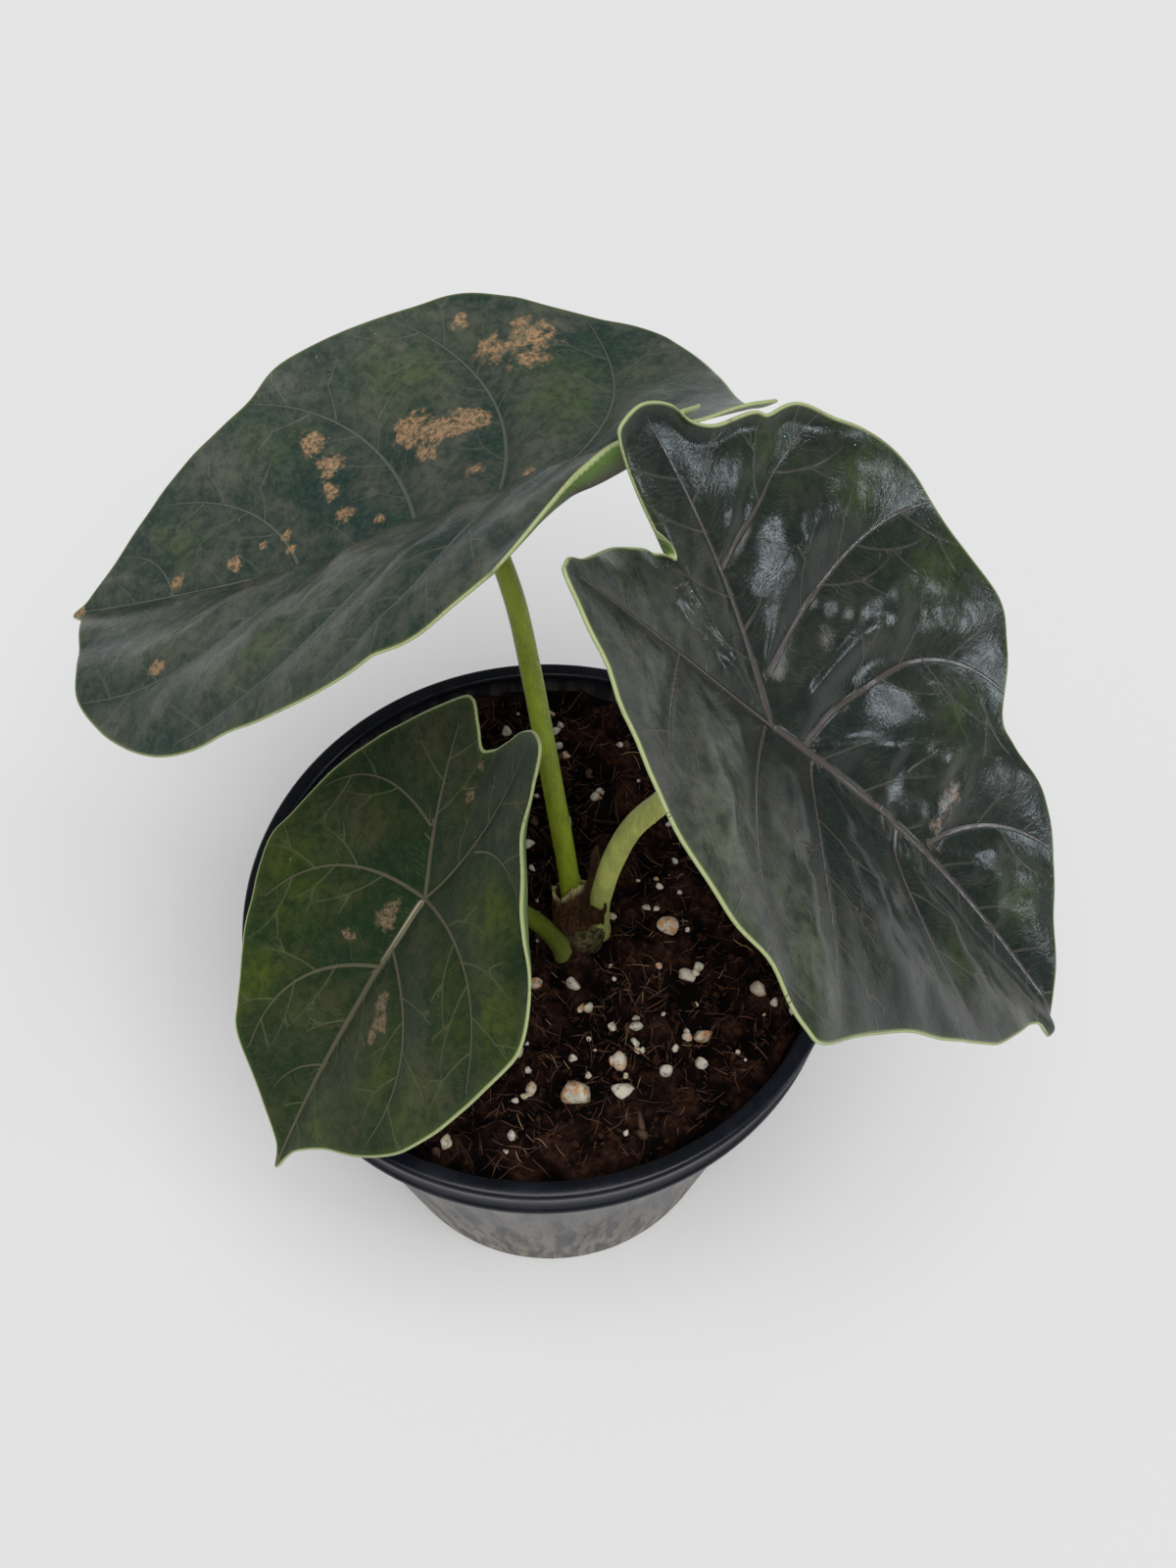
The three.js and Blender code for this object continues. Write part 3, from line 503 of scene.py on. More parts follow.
def blade_top_material(name, leaf):
    shader = Shader(name)
    deep, grey, margin = leaf["deep"], leaf["grey"], leaf["margin"]

    # The blade's ground: green spots and duller, greyer spots that are partly painted sheen, darker by the
    # veins, grained and mottled
    shader.ground(shader.ramp(shader.noise(14.0, 3.0), 0.40, 0.62), deep, grey)
    green = shader.times(shader.layer("patch"), shader.ramp(shader.noise(6.0), 0.25, 0.6))
    shader.paint(green, leaf["green"])
    # Duller, greyer spots from the tone layer: partly the leaf's own tone, partly painted sheen.
    clouds = shader.ramp(shader.noise(5.0, 4.0, 0.6), 0.30, 0.62, 0.3, 1.0)
    shader.paint(shader.times(shader.layer("tone_and_sheen"), clouds), leaf["tone_colour"])
    shader.paint(shader.fall(shader.layer("away"), 0.8, 5.0, 0.5), deep)
    shader.paint(shader.ramp(shader.noise(1.1, 4.0, 0.65), 0.45, 0.7), grey, 0.35)
    shader.paint(shader.fall(shader.noise(2.2, 5.0, 0.7), 0.35, 0.60, 0.55), scaled(deep, 0.6))

    # Striations, small veins and veins, with pale stripes along the base of the midrib, whose bluish white on
    # the right leaf is a painted highlight
    lines = fine_lines(shader, 0.95)
    twigs = twig_mask(shader)
    shader.paint(lines, leaf["twig_colour"], 0.20)
    shader.paint(twigs, leaf["twig_colour"], 0.62)
    midrib = shader.ramp(shader.layer("width"), 0.90, 1.0)
    base = shader.times(midrib, shader.fall(shader.layer("along"), 3.0, 20.0))
    base = shader.times(base, shader.ramp(wave(shader, shader.layer("across"), 0.72), -0.6, 0.5, 0.1, 1.0))
    vein_shade = shader.mix(base, leaf["vein_colour"], leaf["base_colour"])
    shader.paint(vein_mask(shader), vein_shade, 0.75)
    shader.paint(shader.specks(1.9, 0.86), DUST, 0.7)

    # Tan spots with ragged edges: worn spots on the left leaf, painted highlights on the back and right
    # leaves
    scuff_and_glint = shader.layer("scuff_and_glint")
    ragged = shader.plus(scuff_and_glint, shader.times(shader.noise(2.8, 4.0, 0.65), 2.2))
    worn_and_glint = shader.times(shader.ramp(ragged, 1.42, 1.80), shader.ramp(scuff_and_glint, 0.12, 0.40))
    crackle = shader.ramp(shader.noise(0.9, 4.0, 0.7), 0.36, 0.60, 0.15, 1.0)
    tan = shader.mix(shader.noise(1.7, 3.0), scaled(leaf["scuff_colour"], 0.5), leaf["scuff_colour"])
    shader.paint(shader.times(worn_and_glint, crackle), tan)

    # Margin
    rim = shader.layer("rim")
    shader.paint(shader.fall(rim, 0.3, 1.8, 0.35 * margin), MARGIN_BAND)
    shader.paint(shader.fall(rim, 0.15, 0.42), scaled(MARGIN, margin))

    for height, distance in ((shader.noise(0.5, 3.0, 0.7), 0.03), (lines, 0.01), (twigs, 0.05),
                             (shader.noise(2.6, 2.0), 0.10), (vein_mask(shader, 1.3), 0.16)):
        shader.emboss(height, distance)
    roughness = shader.ramp(shader.noise(4.0, 3.0), 0.3, 0.7, *leaf["roughness"])
    return shader.finish(roughness, IOR=1.46, Specular_IOR_Level=leaf["specular"])


def blade_under_material():
    shader = Shader("blade_underside")
    rim = shader.layer("rim")
    lines = fine_lines(shader, 1.3)
    shader.ground(shader.noise(8.0), UNDERSIDE, scaled(UNDERSIDE, 0.7))
    shader.paint(lines, UNDERSIDE_VEIN, 0.5)
    shader.paint(vein_mask(shader, 1.2), UNDERSIDE_VEIN)
    shader.paint(shader.fall(rim, 0.8, 3.0, 0.9), UNDER_MARGIN)
    shader.paint(shader.fall(rim, 0.25, 0.7), MARGIN)
    shader.emboss(lines, 0.08)
    shader.emboss(vein_mask(shader, 1.6), 0.6)
    return shader.finish(0.5, IOR=1.42)


# Leaf blades: rings of points out to the strip and across it, one in UNDER_STEP of them underneath
TOP_RINGS = 84
STRIP_RINGS = 18
UNDER_STEP = 3
BLADE_COLUMNS = 384
RING_CROWDING = 0.85
LEAST_ROLL = 0.01
ROUNDING_SHARE = 0.4
FOLD_SOFTNESS = 1.2
VEIN_SAMPLES = 36
VEIN_TAPER = 0.7
VEIN_PHASE = 3.7
TWIG_SPACING = 11.0
TWIG_LENGTH = 15.0
TWIG_REACH = 9.0
TWIG_VEIN_SAMPLES = 200
PILLOW_REACH = 8.0
FAR = 1e9

# Layers that aren't 0 at the middle of a leaf
CENTRE_VALUES = {"rim": 30.0, "width": 0.8, "twig_away": TWIG_REACH}


def leaf_axes(leaf):
    """The blade's directions at the stalk: along the midrib, to the left of it, and up from it."""
    azimuth, pitch, roll = np.radians([leaf["azimuth"], leaf["pitch"], leaf["roll"]])
    ahead = np.array([math.cos(azimuth), math.sin(azimuth), 0.0])
    level = np.array([-math.sin(azimuth), math.cos(azimuth), 0.0])
    along = ahead * math.cos(pitch) + (0.0, 0.0, -math.sin(pitch))
    side = level * math.cos(roll) + np.cross(along, level) * math.sin(roll)
    return along, side, np.cross(along, side)


def blade_point(leaf, u, v, lift):
    """The point of the bent, folded and curled blade at u, v, raised by lift off its surface."""
    left = v >= 0
    bend = np.radians(np.where(u > 0, *leaf["bend"]))
    heading = bend * u
    reach = np.sin(heading) / bend
    drop = (np.cos(heading) - 1) / bend
    width = np.sqrt(v * v + FOLD_SOFTNESS ** 2) - FOLD_SOFTNESS
    fold = np.where(left, *leaf["fold"]) + np.where(left, *leaf["grow"]) * u
    fold = np.radians(fold - leaf["back_fold"] * np.minimum(u, 0))
    curl = np.radians(np.where(left, *leaf["curl"]))
    slope = fold + curl * width
    soft_slope = slope * np.abs(v) / (np.abs(v) + FOLD_SOFTNESS)
    sign = np.where(left, 1.0, -1.0)
    missing = np.abs(v) - width
    out = sign * ((np.sin(slope) - np.sin(fold)) / curl + missing - np.sin(soft_slope) * lift)
    rise = (np.cos(fold) - np.cos(slope)) / curl + np.cos(soft_slope) * lift
    turn = np.radians(leaf["twist"]) * u
    across = out * np.cos(turn) - rise * np.sin(turn) + leaf["sway"] * np.maximum(u, 0) ** 2
    height = out * np.sin(turn) + rise * np.cos(turn)
    along, side, up = leaf_axes(leaf)
    return (np.array(leaf["attach"])
            + (reach + height * np.sin(heading))[..., None] * along
            + across[..., None] * side
            + (drop + height * np.cos(heading))[..., None] * up)


def bow(row, samples):
    """Points along a quadratic curve. Its start, control point and end are the first six numbers of row."""
    share = np.linspace(0, 1, samples)[:, None]
    start, control, end = np.array(row[:6], float).reshape(3, 2)
    return (1 - share) ** 2 * start + 2 * share * (1 - share) * control + share ** 2 * end


def beside(line, u, v):
    """For each u, v: the distance to a line of points, signed by its side, how far along the line the
    nearest place is, and what share of the line that is."""
    nearest = np.full(u.shape, FAR)
    signed, travelled, passed = (np.zeros(u.shape) for _ in range(3))
    start = 0.0
    for index, (a, b) in enumerate(zip(line[:-1], line[1:])):
        step = b - a
        length = float(np.hypot(*step))
        share = np.clip(((u - a[0]) * step[0] + (v - a[1]) * step[1]) / length ** 2, 0, 1)
        distance = np.hypot(u - a[0] - share * step[0], v - a[1] - share * step[1])
        closer = distance < nearest
        nearest = np.where(closer, distance, nearest)
        side = np.where(step[0] * (v - a[1]) - step[1] * (u - a[0]) < 0, -1.0, 1.0)
        signed = np.where(closer, side * distance, signed)
        travelled = np.where(closer, start + share * length, travelled)
        passed = np.where(closer, (index + share) / (len(line) - 1), passed)
        start += length
    return signed, travelled, passed


def vein_layers(leaf, u, v):
    """For each u, v: the nearest vein's distance, signed distance, place along it and half width there,
    a fade that is 0 on a vein and midway between two, the vein's number, and the second's distance."""
    best = np.full(u.shape, FAR)
    second = np.full(u.shape, FAR)
    signed, along, owner = (np.zeros(u.shape) for _ in range(3))
    width = np.full(u.shape, 0.1)
    for number, vein in enumerate(leaf["veins"]):
        across, travelled, passed = beside(bow(vein, VEIN_SAMPLES), u, v)
        nearest = np.abs(across)
        closer = nearest < best
        second = np.where(closer, best, np.minimum(second, nearest))
        best = np.where(closer, nearest, best)
        signed = np.where(closer, across, signed)
        along = np.where(closer, travelled + VEIN_PHASE * number, along)
        width = np.where(closer, vein[-1] / 2 * (1 - VEIN_TAPER * passed), width)
        owner = np.where(closer, number, owner)
    fade = smooth_step(0.0, 1.2, second - best) * smooth_step(0.2, 1.2, best)
    return {"away": best, "across": signed, "along": along, "width": width, "fade": fade}, owner, second


def twig_lines(leaf, random):
    """Small veins that branch off the main ones by turns to the left and right, each with a side branch.
    Each is the number of the vein it belongs to, and its line."""
    lines = []
    for number, row in enumerate(leaf["veins"]):
        vein = bow(row, TWIG_VEIN_SAMPLES)
        lengths = np.concatenate([[0], np.cumsum(np.hypot(*np.diff(vein, axis=0).T))])
        place = TWIG_SPACING
        side = 1
        while place < lengths[-1] - TWIG_SPACING / 2:
            index = int(np.searchsorted(lengths, place))
            foot = vein[index]
            ahead = vein[min(index + 1, len(vein) - 1)] - vein[index - 1]
            ahead /= np.hypot(*ahead)
            out = side * np.array([-ahead[1], ahead[0]])
            length = random.uniform(0.75, 1.25) * TWIG_LENGTH
            middle = foot + length * (0.30 * ahead + 0.42 * out)
            tip = foot + length * (0.80 * ahead + random.uniform(0.45, 0.75) * out)
            line = bow((*foot, *middle, *tip), 7)
            lines.append((number, line))
            fork = line[3] + length * (0.12 * ahead + 0.42 * out)
            bend = line[3] + length * (0.02 * ahead + 0.22 * out)
            lines.append((number, bow((*line[3], *bend, *fork), 4)))
            place += random.uniform(0.4, 0.6) * TWIG_SPACING
            side = -side
    return lines


def twig_layers(leaf, u, v, owner, random):
    """For each u, v: the nearest small vein's distance, signed distance and strength there."""
    best = np.full(u.shape, TWIG_REACH)
    signed = np.full(u.shape, TWIG_REACH)
    strength = np.zeros(u.shape)
    for number, line in twig_lines(leaf, random):
        low = line.min(axis=0) - TWIG_REACH
        high = line.max(axis=0) + TWIG_REACH
        near = (owner == number) & (u > low[0]) & (u < high[0]) & (v > low[1]) & (v < high[1])
        across, _, passed = beside(line, u[near], v[near])
        closer = np.abs(across) < best[near]
        signed[near] = np.where(closer, across, signed[near])
        strength[near] = np.where(closer, 1 - 0.6 * passed, strength[near])
        best[near] = np.where(closer, np.abs(across), best[near])
    return {"twig_away": best, "twig_across": signed, "twig_fade": strength}


def spots_layer(spots, u, v):
    """1 in the middle of each spot and falling smoothly to 0 past its radius."""
    layer = np.zeros(u.shape)
    for place_u, place_v, radius, *strength in spots:
        spot = np.exp(-((u - place_u) ** 2 + (v - place_v) ** 2) / radius ** 2)
        layer = np.maximum(layer, spot * (strength[0] if strength else 1.0))
    return layer


def with_pads(pads, u, v, height):
    """The height with each pad made level with its middle."""
    for place_u, place_v, half_length, half_width, turn in pads:
        ahead = np.array([math.cos(math.radians(turn)), math.sin(math.radians(turn))])
        along = ((u - place_u) * ahead[0] + (v - place_v) * ahead[1]) / half_length
        across = ((v - place_v) * ahead[0] - (u - place_u) * ahead[1]) / half_width
        away = along ** 2 + across ** 2
        middle = height.flat[np.argmin(away)]
        height = height + np.exp(-(away ** 2)) * (middle - height)
    return height


def leaf_blade(name, leaf, materials):
    """A leaf's blade: rings of points on top, round the edge, and fewer of them back underneath."""
    columns = BLADE_COLUMNS
    outline = [(*point, 0)[:3] for point in leaf["outline"]]
    edge = curve_through(outline, np.arange(columns) / columns, closed=True)
    seed = sum(ord(letter) for letter in name)
    full = np.hypot(edge[:, 0], edge[:, 1])
    direction = edge[:, :2] / full[:, None]
    roll = np.radians(np.where(np.abs(edge[:, 2]) > LEAST_ROLL, edge[:, 2], LEAST_ROLL))
    strip = leaf["strip"]
    inner = np.linspace(0, 1, TOP_RINGS + 1)[1:, None] ** RING_CROWDING * (full - strip)
    outer = full - strip + np.linspace(0, 1, STRIP_RINGS + 1)[1:, None] * strip
    flat = np.vstack([inner, outer])
    past = np.maximum(flat - (full - strip), 0)
    angle = roll * past / strip
    u = flat * direction[:, 0]
    v = flat * direction[:, 1]
    layers, owner, second = vein_layers(leaf, u, v)
    layers.update(twig_layers(leaf, u, v, owner, np.random.default_rng(seed)))
    rim = full - flat
    for tip in edge[::2]:
        rim = np.minimum(rim, np.hypot(u - tip[0], v - tip[1]))
    layers["rim"] = rim
    for layer, spots in (("patch", "patches"), ("tone_and_sheen", "tones"), ("scuff_and_glint", "scuffs")):
        layers[layer] = spots_layer(leaf[spots], u, v)
    dome = 1 - (1 - layers["away"] / np.maximum(second, 0.1)) ** 2
    pillow = dome * (1 - np.exp(-second / PILLOW_REACH))
    calm = 1 - (flat / full) ** 4
    lumps = noise_sum(u + 200, v + 200, (1, 7.5, seed), (0.3, 3.2, seed + 2))
    quilt = with_pads(leaf["pads"], u, v, (leaf["quilt"] + leaf["lumps"] * lumps) * pillow * calm)
    ripple = noise_sum(edge[:, 0] + 300, edge[:, 1] + 300, (0.5, 7.0, seed + 1)) * (flat / full) ** 10

    def side(offset, rows):
        """The points of some rows, at an offset from the blade's middle."""
        radius = flat - past + strip / roll * np.sin(angle) * (past > 0) - np.sin(angle) * offset
        lift = strip / roll * (1 - np.cos(angle)) + np.cos(angle) * offset + quilt + ripple
        return blade_point(leaf, radius * direction[:, 0], radius * direction[:, 1], lift)[rows]

    half = BLADE_THICKNESS / 2
    every = np.arange(len(flat))
    some = np.unique(np.append(every[::UNDER_STEP], every[-1]))[::-1]
    top = side(half, every)
    under = side(-half, some)
    edge_middle = 0.5 * (top[-1:] + under[:1])
    outward = edge_middle - 0.5 * (side(half, every[-2:-1]) + side(-half, every[-2:-1]))
    outward /= np.linalg.norm(outward, axis=2)[..., None]
    rounding = edge_middle + outward * BLADE_THICKNESS * ROUNDING_SHARE
    middle = np.full(2, 0.01)
    centres = blade_point(leaf, middle, middle, np.array([half, -half]))
    points, faces = capped(np.concatenate([top, rounding, under]), centres)
    values = {}
    for layer, grid in layers.items():
        rings = np.concatenate([grid, grid[-1:], grid[some]])
        values[layer] = np.append(rings.ravel(), [CENTRE_VALUES.get(layer, 0.0)] * 2)
    indices = np.repeat([0, 1, 0, 1], np.array([len(every) - 1, len(some) + 1, 1, 1]) * columns)
    add_piece(f"blade_{name}", points, turned_over(faces), f"leaf_{name}", materials, values, indices)


# Stalks. Each flares at its foot, tapers off under its blade, and is paler near the foot.
STALK_SIDES = 40
STALK_STEPS = 70
STALK_FLARE = 0.5
STALK_FLARE_LENGTH = 10.0
STALK_PALE_LENGTH = 14.0
STALK_END = 3.5


def stalk_material(name, base):
    shader = Shader(name)
    streaks = shader.noise(0.5, 3.0, 0.6, stretch=(1.0, 1.0, 0.06))
    blotches = shader.noise(4.0, 3.0, stretch=(1.0, 1.0, 0.4))
    light = tuple(1.25 * part + 0.01 for part in base)
    shader.ground(shader.ramp(blotches, 0.3, 0.7), base, scaled(base, 0.68))
    shader.paint(shader.ramp(streaks, 0.45, 0.7), light, 0.45)
    shader.paint(shader.layer("foot"), (0.30, 0.33, 0.10), 0.5)
    shader.emboss(streaks, 0.08)
    return shader.finish(0.42, IOR=1.42)


def tube(route, radii, steps, sides, wobble=0.0, seed=0):
    """Rings of points round a smooth route, each ring square to it."""
    centres = curve_through(route, np.linspace(0, 1, steps))
    tangents = np.gradient(centres, axis=0)
    tangents /= np.linalg.norm(tangents, axis=1)[:, None]
    normal = np.cross(tangents[0], [0.0, 1.0, 0.3])
    rings = []
    angles = full_turn(sides)
    for index in range(steps):
        normal = normal - tangents[index] * (normal @ tangents[index])
        normal /= np.linalg.norm(normal)
        binormal = np.cross(tangents[index], normal)
        uneven = wobble * lattice_noise(angles * 3, np.full(sides, index * 0.3), 1.0, seed)
        circle = np.outer(np.cos(angles), normal) + np.outer(np.sin(angles), binormal)
        rings.append(centres[index] + (radii[index] * (1 + uneven))[:, None] * circle)
    return np.array(rings), centres


def capped(rings, centres):
    """Points and faces of a tube closed at both ends."""
    count, sides = rings.shape[:2]
    points = np.vstack([rings.reshape(-1, 3), centres[:1], centres[-1:]])
    foot = count * sides
    faces = ring_faces(count, sides)
    faces += [(foot, (i + 1) % sides, i) for i in range(sides)]
    last = (count - 1) * sides
    faces += [(foot + 1, last + i, last + (i + 1) % sides) for i in range(sides)]
    return points, faces


def stalk(name):
    shape = STALKS[name]
    route = shape["route"] + [LEAVES[name]["attach"]]
    share = np.linspace(0, 1, STALK_STEPS)
    length = np.sum(np.linalg.norm(np.diff(np.array(route, float), axis=0), axis=1))
    radii = np.interp(share, [0, 1], shape["radii"])
    radii = radii + STALK_FLARE * np.exp(-((share * length / STALK_FLARE_LENGTH) ** 2))
    radii = radii * np.sqrt(np.clip((1 - share) * length / STALK_END + 0.04, 0, 1))
    rings, centres = tube(route, radii, STALK_STEPS, STALK_SIDES, 0.02, len(name))
    points, faces = capped(rings, centres)
    pale = np.exp(-((share * length / STALK_PALE_LENGTH) ** 2))
    foot = np.append(np.repeat(pale, STALK_SIDES), [1.0, 0.0])
    material = stalk_material(f"stalk_{name}_skin", shape["colour"])
    add_piece(f"petiole_{name}", points, faces, f"stalk_{name}", [material], {"foot": foot})


# Pot
POT_SIDES = 160
LIP_RADIUS = 1.15
BASE_ROUNDING = 1.2
BAND_ROUNDING = 0.6


def pot_material():
    shader = Shader("pot_plastic")
    reflection_streak = shader.noise(2.6, 4.0, 0.6, stretch=(1.0, 1.0, 0.02))
    haze = shader.noise(9.0, 4.0, 0.6, stretch=(1.0, 1.0, 0.15))
    outside = shader.layer("wall")
    shader.ground(shader.ramp(haze, 0.35, 0.75), (0.005, 0.006, 0.010), (0.010, 0.011, 0.017))
    # Painted reflection: pale grey-tan streaks over the outer wall below the band stand in for the pale floor
    # reflected in the black plastic.
    painted_reflection = shader.mix(shader.ramp(reflection_streak, 0.42, 0.60), (0.090, 0.084, 0.082), (0.345, 0.290, 0.235))
    shader.paint(outside, painted_reflection, 0.78)
    shader.paint(shader.specks(2.2, 0.90), (0.25, 0.22, 0.18), 0.35)
    roughness = shader.plus(shader.ramp(haze, 0.3, 0.7, 0.22, 0.34), shader.times(outside, 0.3))
    shader.emboss(shader.noise(1.2, 3.0), 0.02)
    return shader.finish(roughness, IOR=1.5, Specular_IOR_Level=0.24)


def inner_radius(height):
    """The radius of the pot's inside at a height."""
    return BASE_RADIUS - WALL + (WALL_TOP_RADIUS - BASE_RADIUS) / BAND_BOTTOM * height


def arc(centre, radius, start, end, count):
    """Points of an arc in the profile's plane, angles in degrees."""
    angles = np.radians(np.linspace(start, end, count))
    return [(centre[0] + radius * math.cos(angle), centre[1] + radius * math.sin(angle)) for angle in angles]


def pot():
    floor_top = RECESS_DEPTH + FLOOR_THICKNESS
    lip = POT_HEIGHT - LIP_RADIUS
    groove = BAND_OUTER - 0.7
    profile = [(PAD_RADIUS, 0), (PAD_RADIUS + 1, RECESS_DEPTH), (BASE_RADIUS - FOOT_WIDTH, RECESS_DEPTH),
               (BASE_RADIUS - FOOT_WIDTH + 1, 0), (BASE_RADIUS - BASE_ROUNDING, 0),
               *arc((BASE_RADIUS - BASE_ROUNDING, BASE_ROUNDING), BASE_ROUNDING, -80, 0, 5),
               (WALL_TOP_RADIUS, BAND_BOTTOM), (BAND_OUTER - BAND_ROUNDING, BAND_BOTTOM),
               *arc((BAND_OUTER - BAND_ROUNDING, BAND_BOTTOM + BAND_ROUNDING), BAND_ROUNDING, -80, 0, 5),
               (BAND_OUTER, BAND_BOTTOM + 1.5), (BAND_OUTER - 0.3, BAND_BOTTOM + 1.9),
               (groove, BAND_BOTTOM + 2.2), (groove + 0.1, POT_HEIGHT - 3.4),
               *arc((RIM_RADIUS - LIP_RADIUS, lip), LIP_RADIUS, -40, 85, 8),
               *arc((RIM_RADIUS - LIP_WIDTH + LIP_RADIUS, lip), LIP_RADIUS, 95, 180, 6),
               (inner_radius(BAND_BOTTOM) + 0.2, BAND_BOTTOM - 1),
               (inner_radius(BAND_BOTTOM), BAND_BOTTOM - 3),
               (inner_radius(floor_top), floor_top)]
    profile = np.array(profile)
    below_band = (profile[:, 1] < BAND_BOTTOM - 0.5) & (profile[:, 0] >= BASE_RADIUS - BASE_ROUNDING - 0.1)
    wall = np.where(below_band, 1.0, 0.0)
    wall[int(np.argmax(profile[:, 1] > 2))] = 0.0
    points, faces = capped(turned(profile, POT_SIDES), np.array([(0, 0, 0), (0, 0, floor_top)]))
    # The wall layer marks where the plastic paints that reflection.
    layer = np.append(np.repeat(wall, POT_SIDES), [0, 0])
    add_piece("pot_shell", points, faces, "pot", [pot_material()], {"wall": layer})


# Soil
SOIL_SIDES = 260
SOIL_RINGS = 120
SOIL_CLEARANCE = 0.3


def soil_height(x, y):
    """The soil's surface before its crumbs: a mound towards the back, with a hollow round the crown."""
    mound = SOIL_MOUND * smooth_step(0, RIM_RADIUS, y)
    lumps = np.sin(x * 0.42 + 1.3) * np.cos(y * 0.37) + 0.8 * np.sin(x * 0.19 - y * 0.53 + 2.1)
    hollow = CROWN_HOLLOW * np.exp(-((np.hypot(x - CROWN[0], y - CROWN[1]) / HOLLOW_RADIUS) ** 2))
    return np.minimum(SOIL_TOP + mound + SOIL_BUMP * lumps - hollow, SOIL_TOP + SOIL_MOUND)


def crumbs(x, y):
    """How far the soil's crumbs stand over or under its mean surface."""
    parts = (1.5, 5.5, 11), (1.0, 2.4, 12), (0.6, 1.2, 13), (0.35, 0.6, 14)
    return noise_sum(x + 300, y + 300, *parts) - 0.6


def crumbled_height(x, y):
    return soil_height(x, y) + crumbs(x, y)


def ground(x, y):
    """The height of the crumbled soil at one place."""
    return float(crumbled_height(np.array([x]), np.array([y]))[0])


def soil_material():
    shader = Shader("peat")
    grain = shader.noise(2.2, 6.0, 0.7)
    fleck = shader.noise(0.7, 4.0, 0.7)
    shader.ground(shader.ramp(grain, 0.35, 0.65), (0.010, 0.004, 0.003), (0.042, 0.018, 0.011))
    shader.paint(shader.ramp(fleck, 0.58, 0.72, 0.0, 0.7), (0.090, 0.038, 0.022))
    # Painted shade: near black in the hollows between crumbs, by the level layer.
    shader.paint(shader.fall(shader.layer("level"), -1.3, 1.1, 0.94), (0.0015, 0.0010, 0.0010))
    shader.emboss(shader.noise(0.45, 5.0, 0.75), 0.25)
    return shader.finish(0.95, Specular_IOR_Level=0.06)


def soil_bed():
    angles = full_turn(SOIL_SIDES)
    radii = np.linspace(0, 1, SOIL_RINGS + 1)[1:, None] * (inner_radius(SOIL_TOP) - SOIL_CLEARANCE)
    x = radii * np.cos(angles)
    y = radii * np.sin(angles)
    top = np.stack([x, y, crumbled_height(x, y)], axis=-1)
    low = RECESS_DEPTH + FLOOR_THICKNESS + SOIL_CLEARANCE
    bottom = turned(np.array([(inner_radius(low) - SOIL_CLEARANCE, low)]), SOIL_SIDES)
    points, faces = capped(np.concatenate([top, bottom]), np.array([(0, 0, ground(0, 0)), (0, 0, low)]))
    # level is the crumbs' height, which the peat reads to paint shade in the hollows.
    level = np.append(crumbs(x, y).ravel(), np.zeros(SOIL_SIDES + 2))
    add_piece("peat_bed", points, turned_over(faces), "soil", [soil_material()], {"level": level})


def ball(detail):
    """Unit points and triangles of a sphere split detail times."""
    work = bmesh.new()
    bmesh.ops.create_icosphere(work, subdivisions=detail, radius=1.0)
    points = np.array([vertex.co[:] for vertex in work.verts])
    faces = [tuple(vertex.index for vertex in face.verts) for face in work.faces]
    work.free()
    return points, faces


def scattered(name, places, shape, material):
    """Many small pieces on the soil in one mesh. shape(place, random) gives one's points and faces, and
    each has a random kind from 0 to 1, which its material reads."""
    random = np.random.default_rng(len(name))
    points = []
    faces = []
    kinds = []
    start = 0
    for place in places:
        some, some_faces = shape(place, random)
        points.append(some)
        faces += [tuple(index + start for index in face) for face in some_faces]
        kinds += [random.uniform()] * len(some)
        start += len(some)
    add_piece(name, np.vstack(points), faces, None, [material], {"kind": kinds})


# How far the loose litter stays off the pot's wall
LITTER_EDGE = 2.5

# The largest perlite grains, by place on the soil and size
PERLITE = [
    (27.5, -2.5, 6.6), (7.5, -41, 6), (46, -18, 4), (34.5, -27, 4.6), (6.5, -15, 4.4),
    (-1.5, -15.5, 3.6), (10, -21, 3.2), (20, -26, 3.8), (16.5, -33, 4.2), (26, -36, 4),
    (33.5, -34, 3.6), (17, -39.5, 4.4), (-2, -39, 3.4), (-5, -31, 3.6), (-19, -51, 3.8),
    (31, -13, 4.2), (4, 25, 4.4), (3.6, 21, 3.4), (-4, 19, 3.2),
]


def random_places(random, count, low, high, clear=0.0):
    """Places on the soil, each with a size from low to high, kept off the crown and the wall."""
    places = []
    while len(places) < count:
        angle = random.uniform(0, 2 * math.pi)
        radius = (inner_radius(SOIL_TOP) - LITTER_EDGE) * math.sqrt(random.uniform())
        x = radius * math.cos(angle)
        y = radius * math.sin(angle)
        if math.hypot(x - CROWN[0], y - CROWN[1]) > CROWN_RADIUS + clear:
            places.append((x, y, random.uniform(low, high)))
    return places


BALL_POINTS, BALL_FACES = ball(2)


def some_way(random):
    """A random direction."""
    axis = random.normal(size=3)
    return axis / np.linalg.norm(axis)


def lump(squash, rough, sink, facets=0):
    """A maker of irregular lumps that rest on the soil, sunk in by a share of their size."""
    def make(place, random):
        x, y, size = place
        points = BALL_POINTS.copy()
        for _ in range(facets):
            axis = some_way(random)
            past = np.maximum(points @ axis - random.uniform(0.55, 0.85), 0)
            points -= np.outer(past, axis)
        for _ in range(4):
            axis = some_way(random)
            points += rough * 0.5 * np.outer(np.sin(2.2 * points @ axis + random.uniform(0, 6)), axis)
        points *= random.uniform(1 - squash, 1 + 0.3 * squash, 3)
        angle = random.uniform(0, 6.28)
        turn = [[math.cos(angle), math.sin(angle), 0], [-math.sin(angle), math.cos(angle), 0], [0, 0, 1]]
        points = points @ turn * size / 2
        points += (x, y, ground(x, y) + size * (0.5 - sink))
        return points, BALL_FACES
    return make


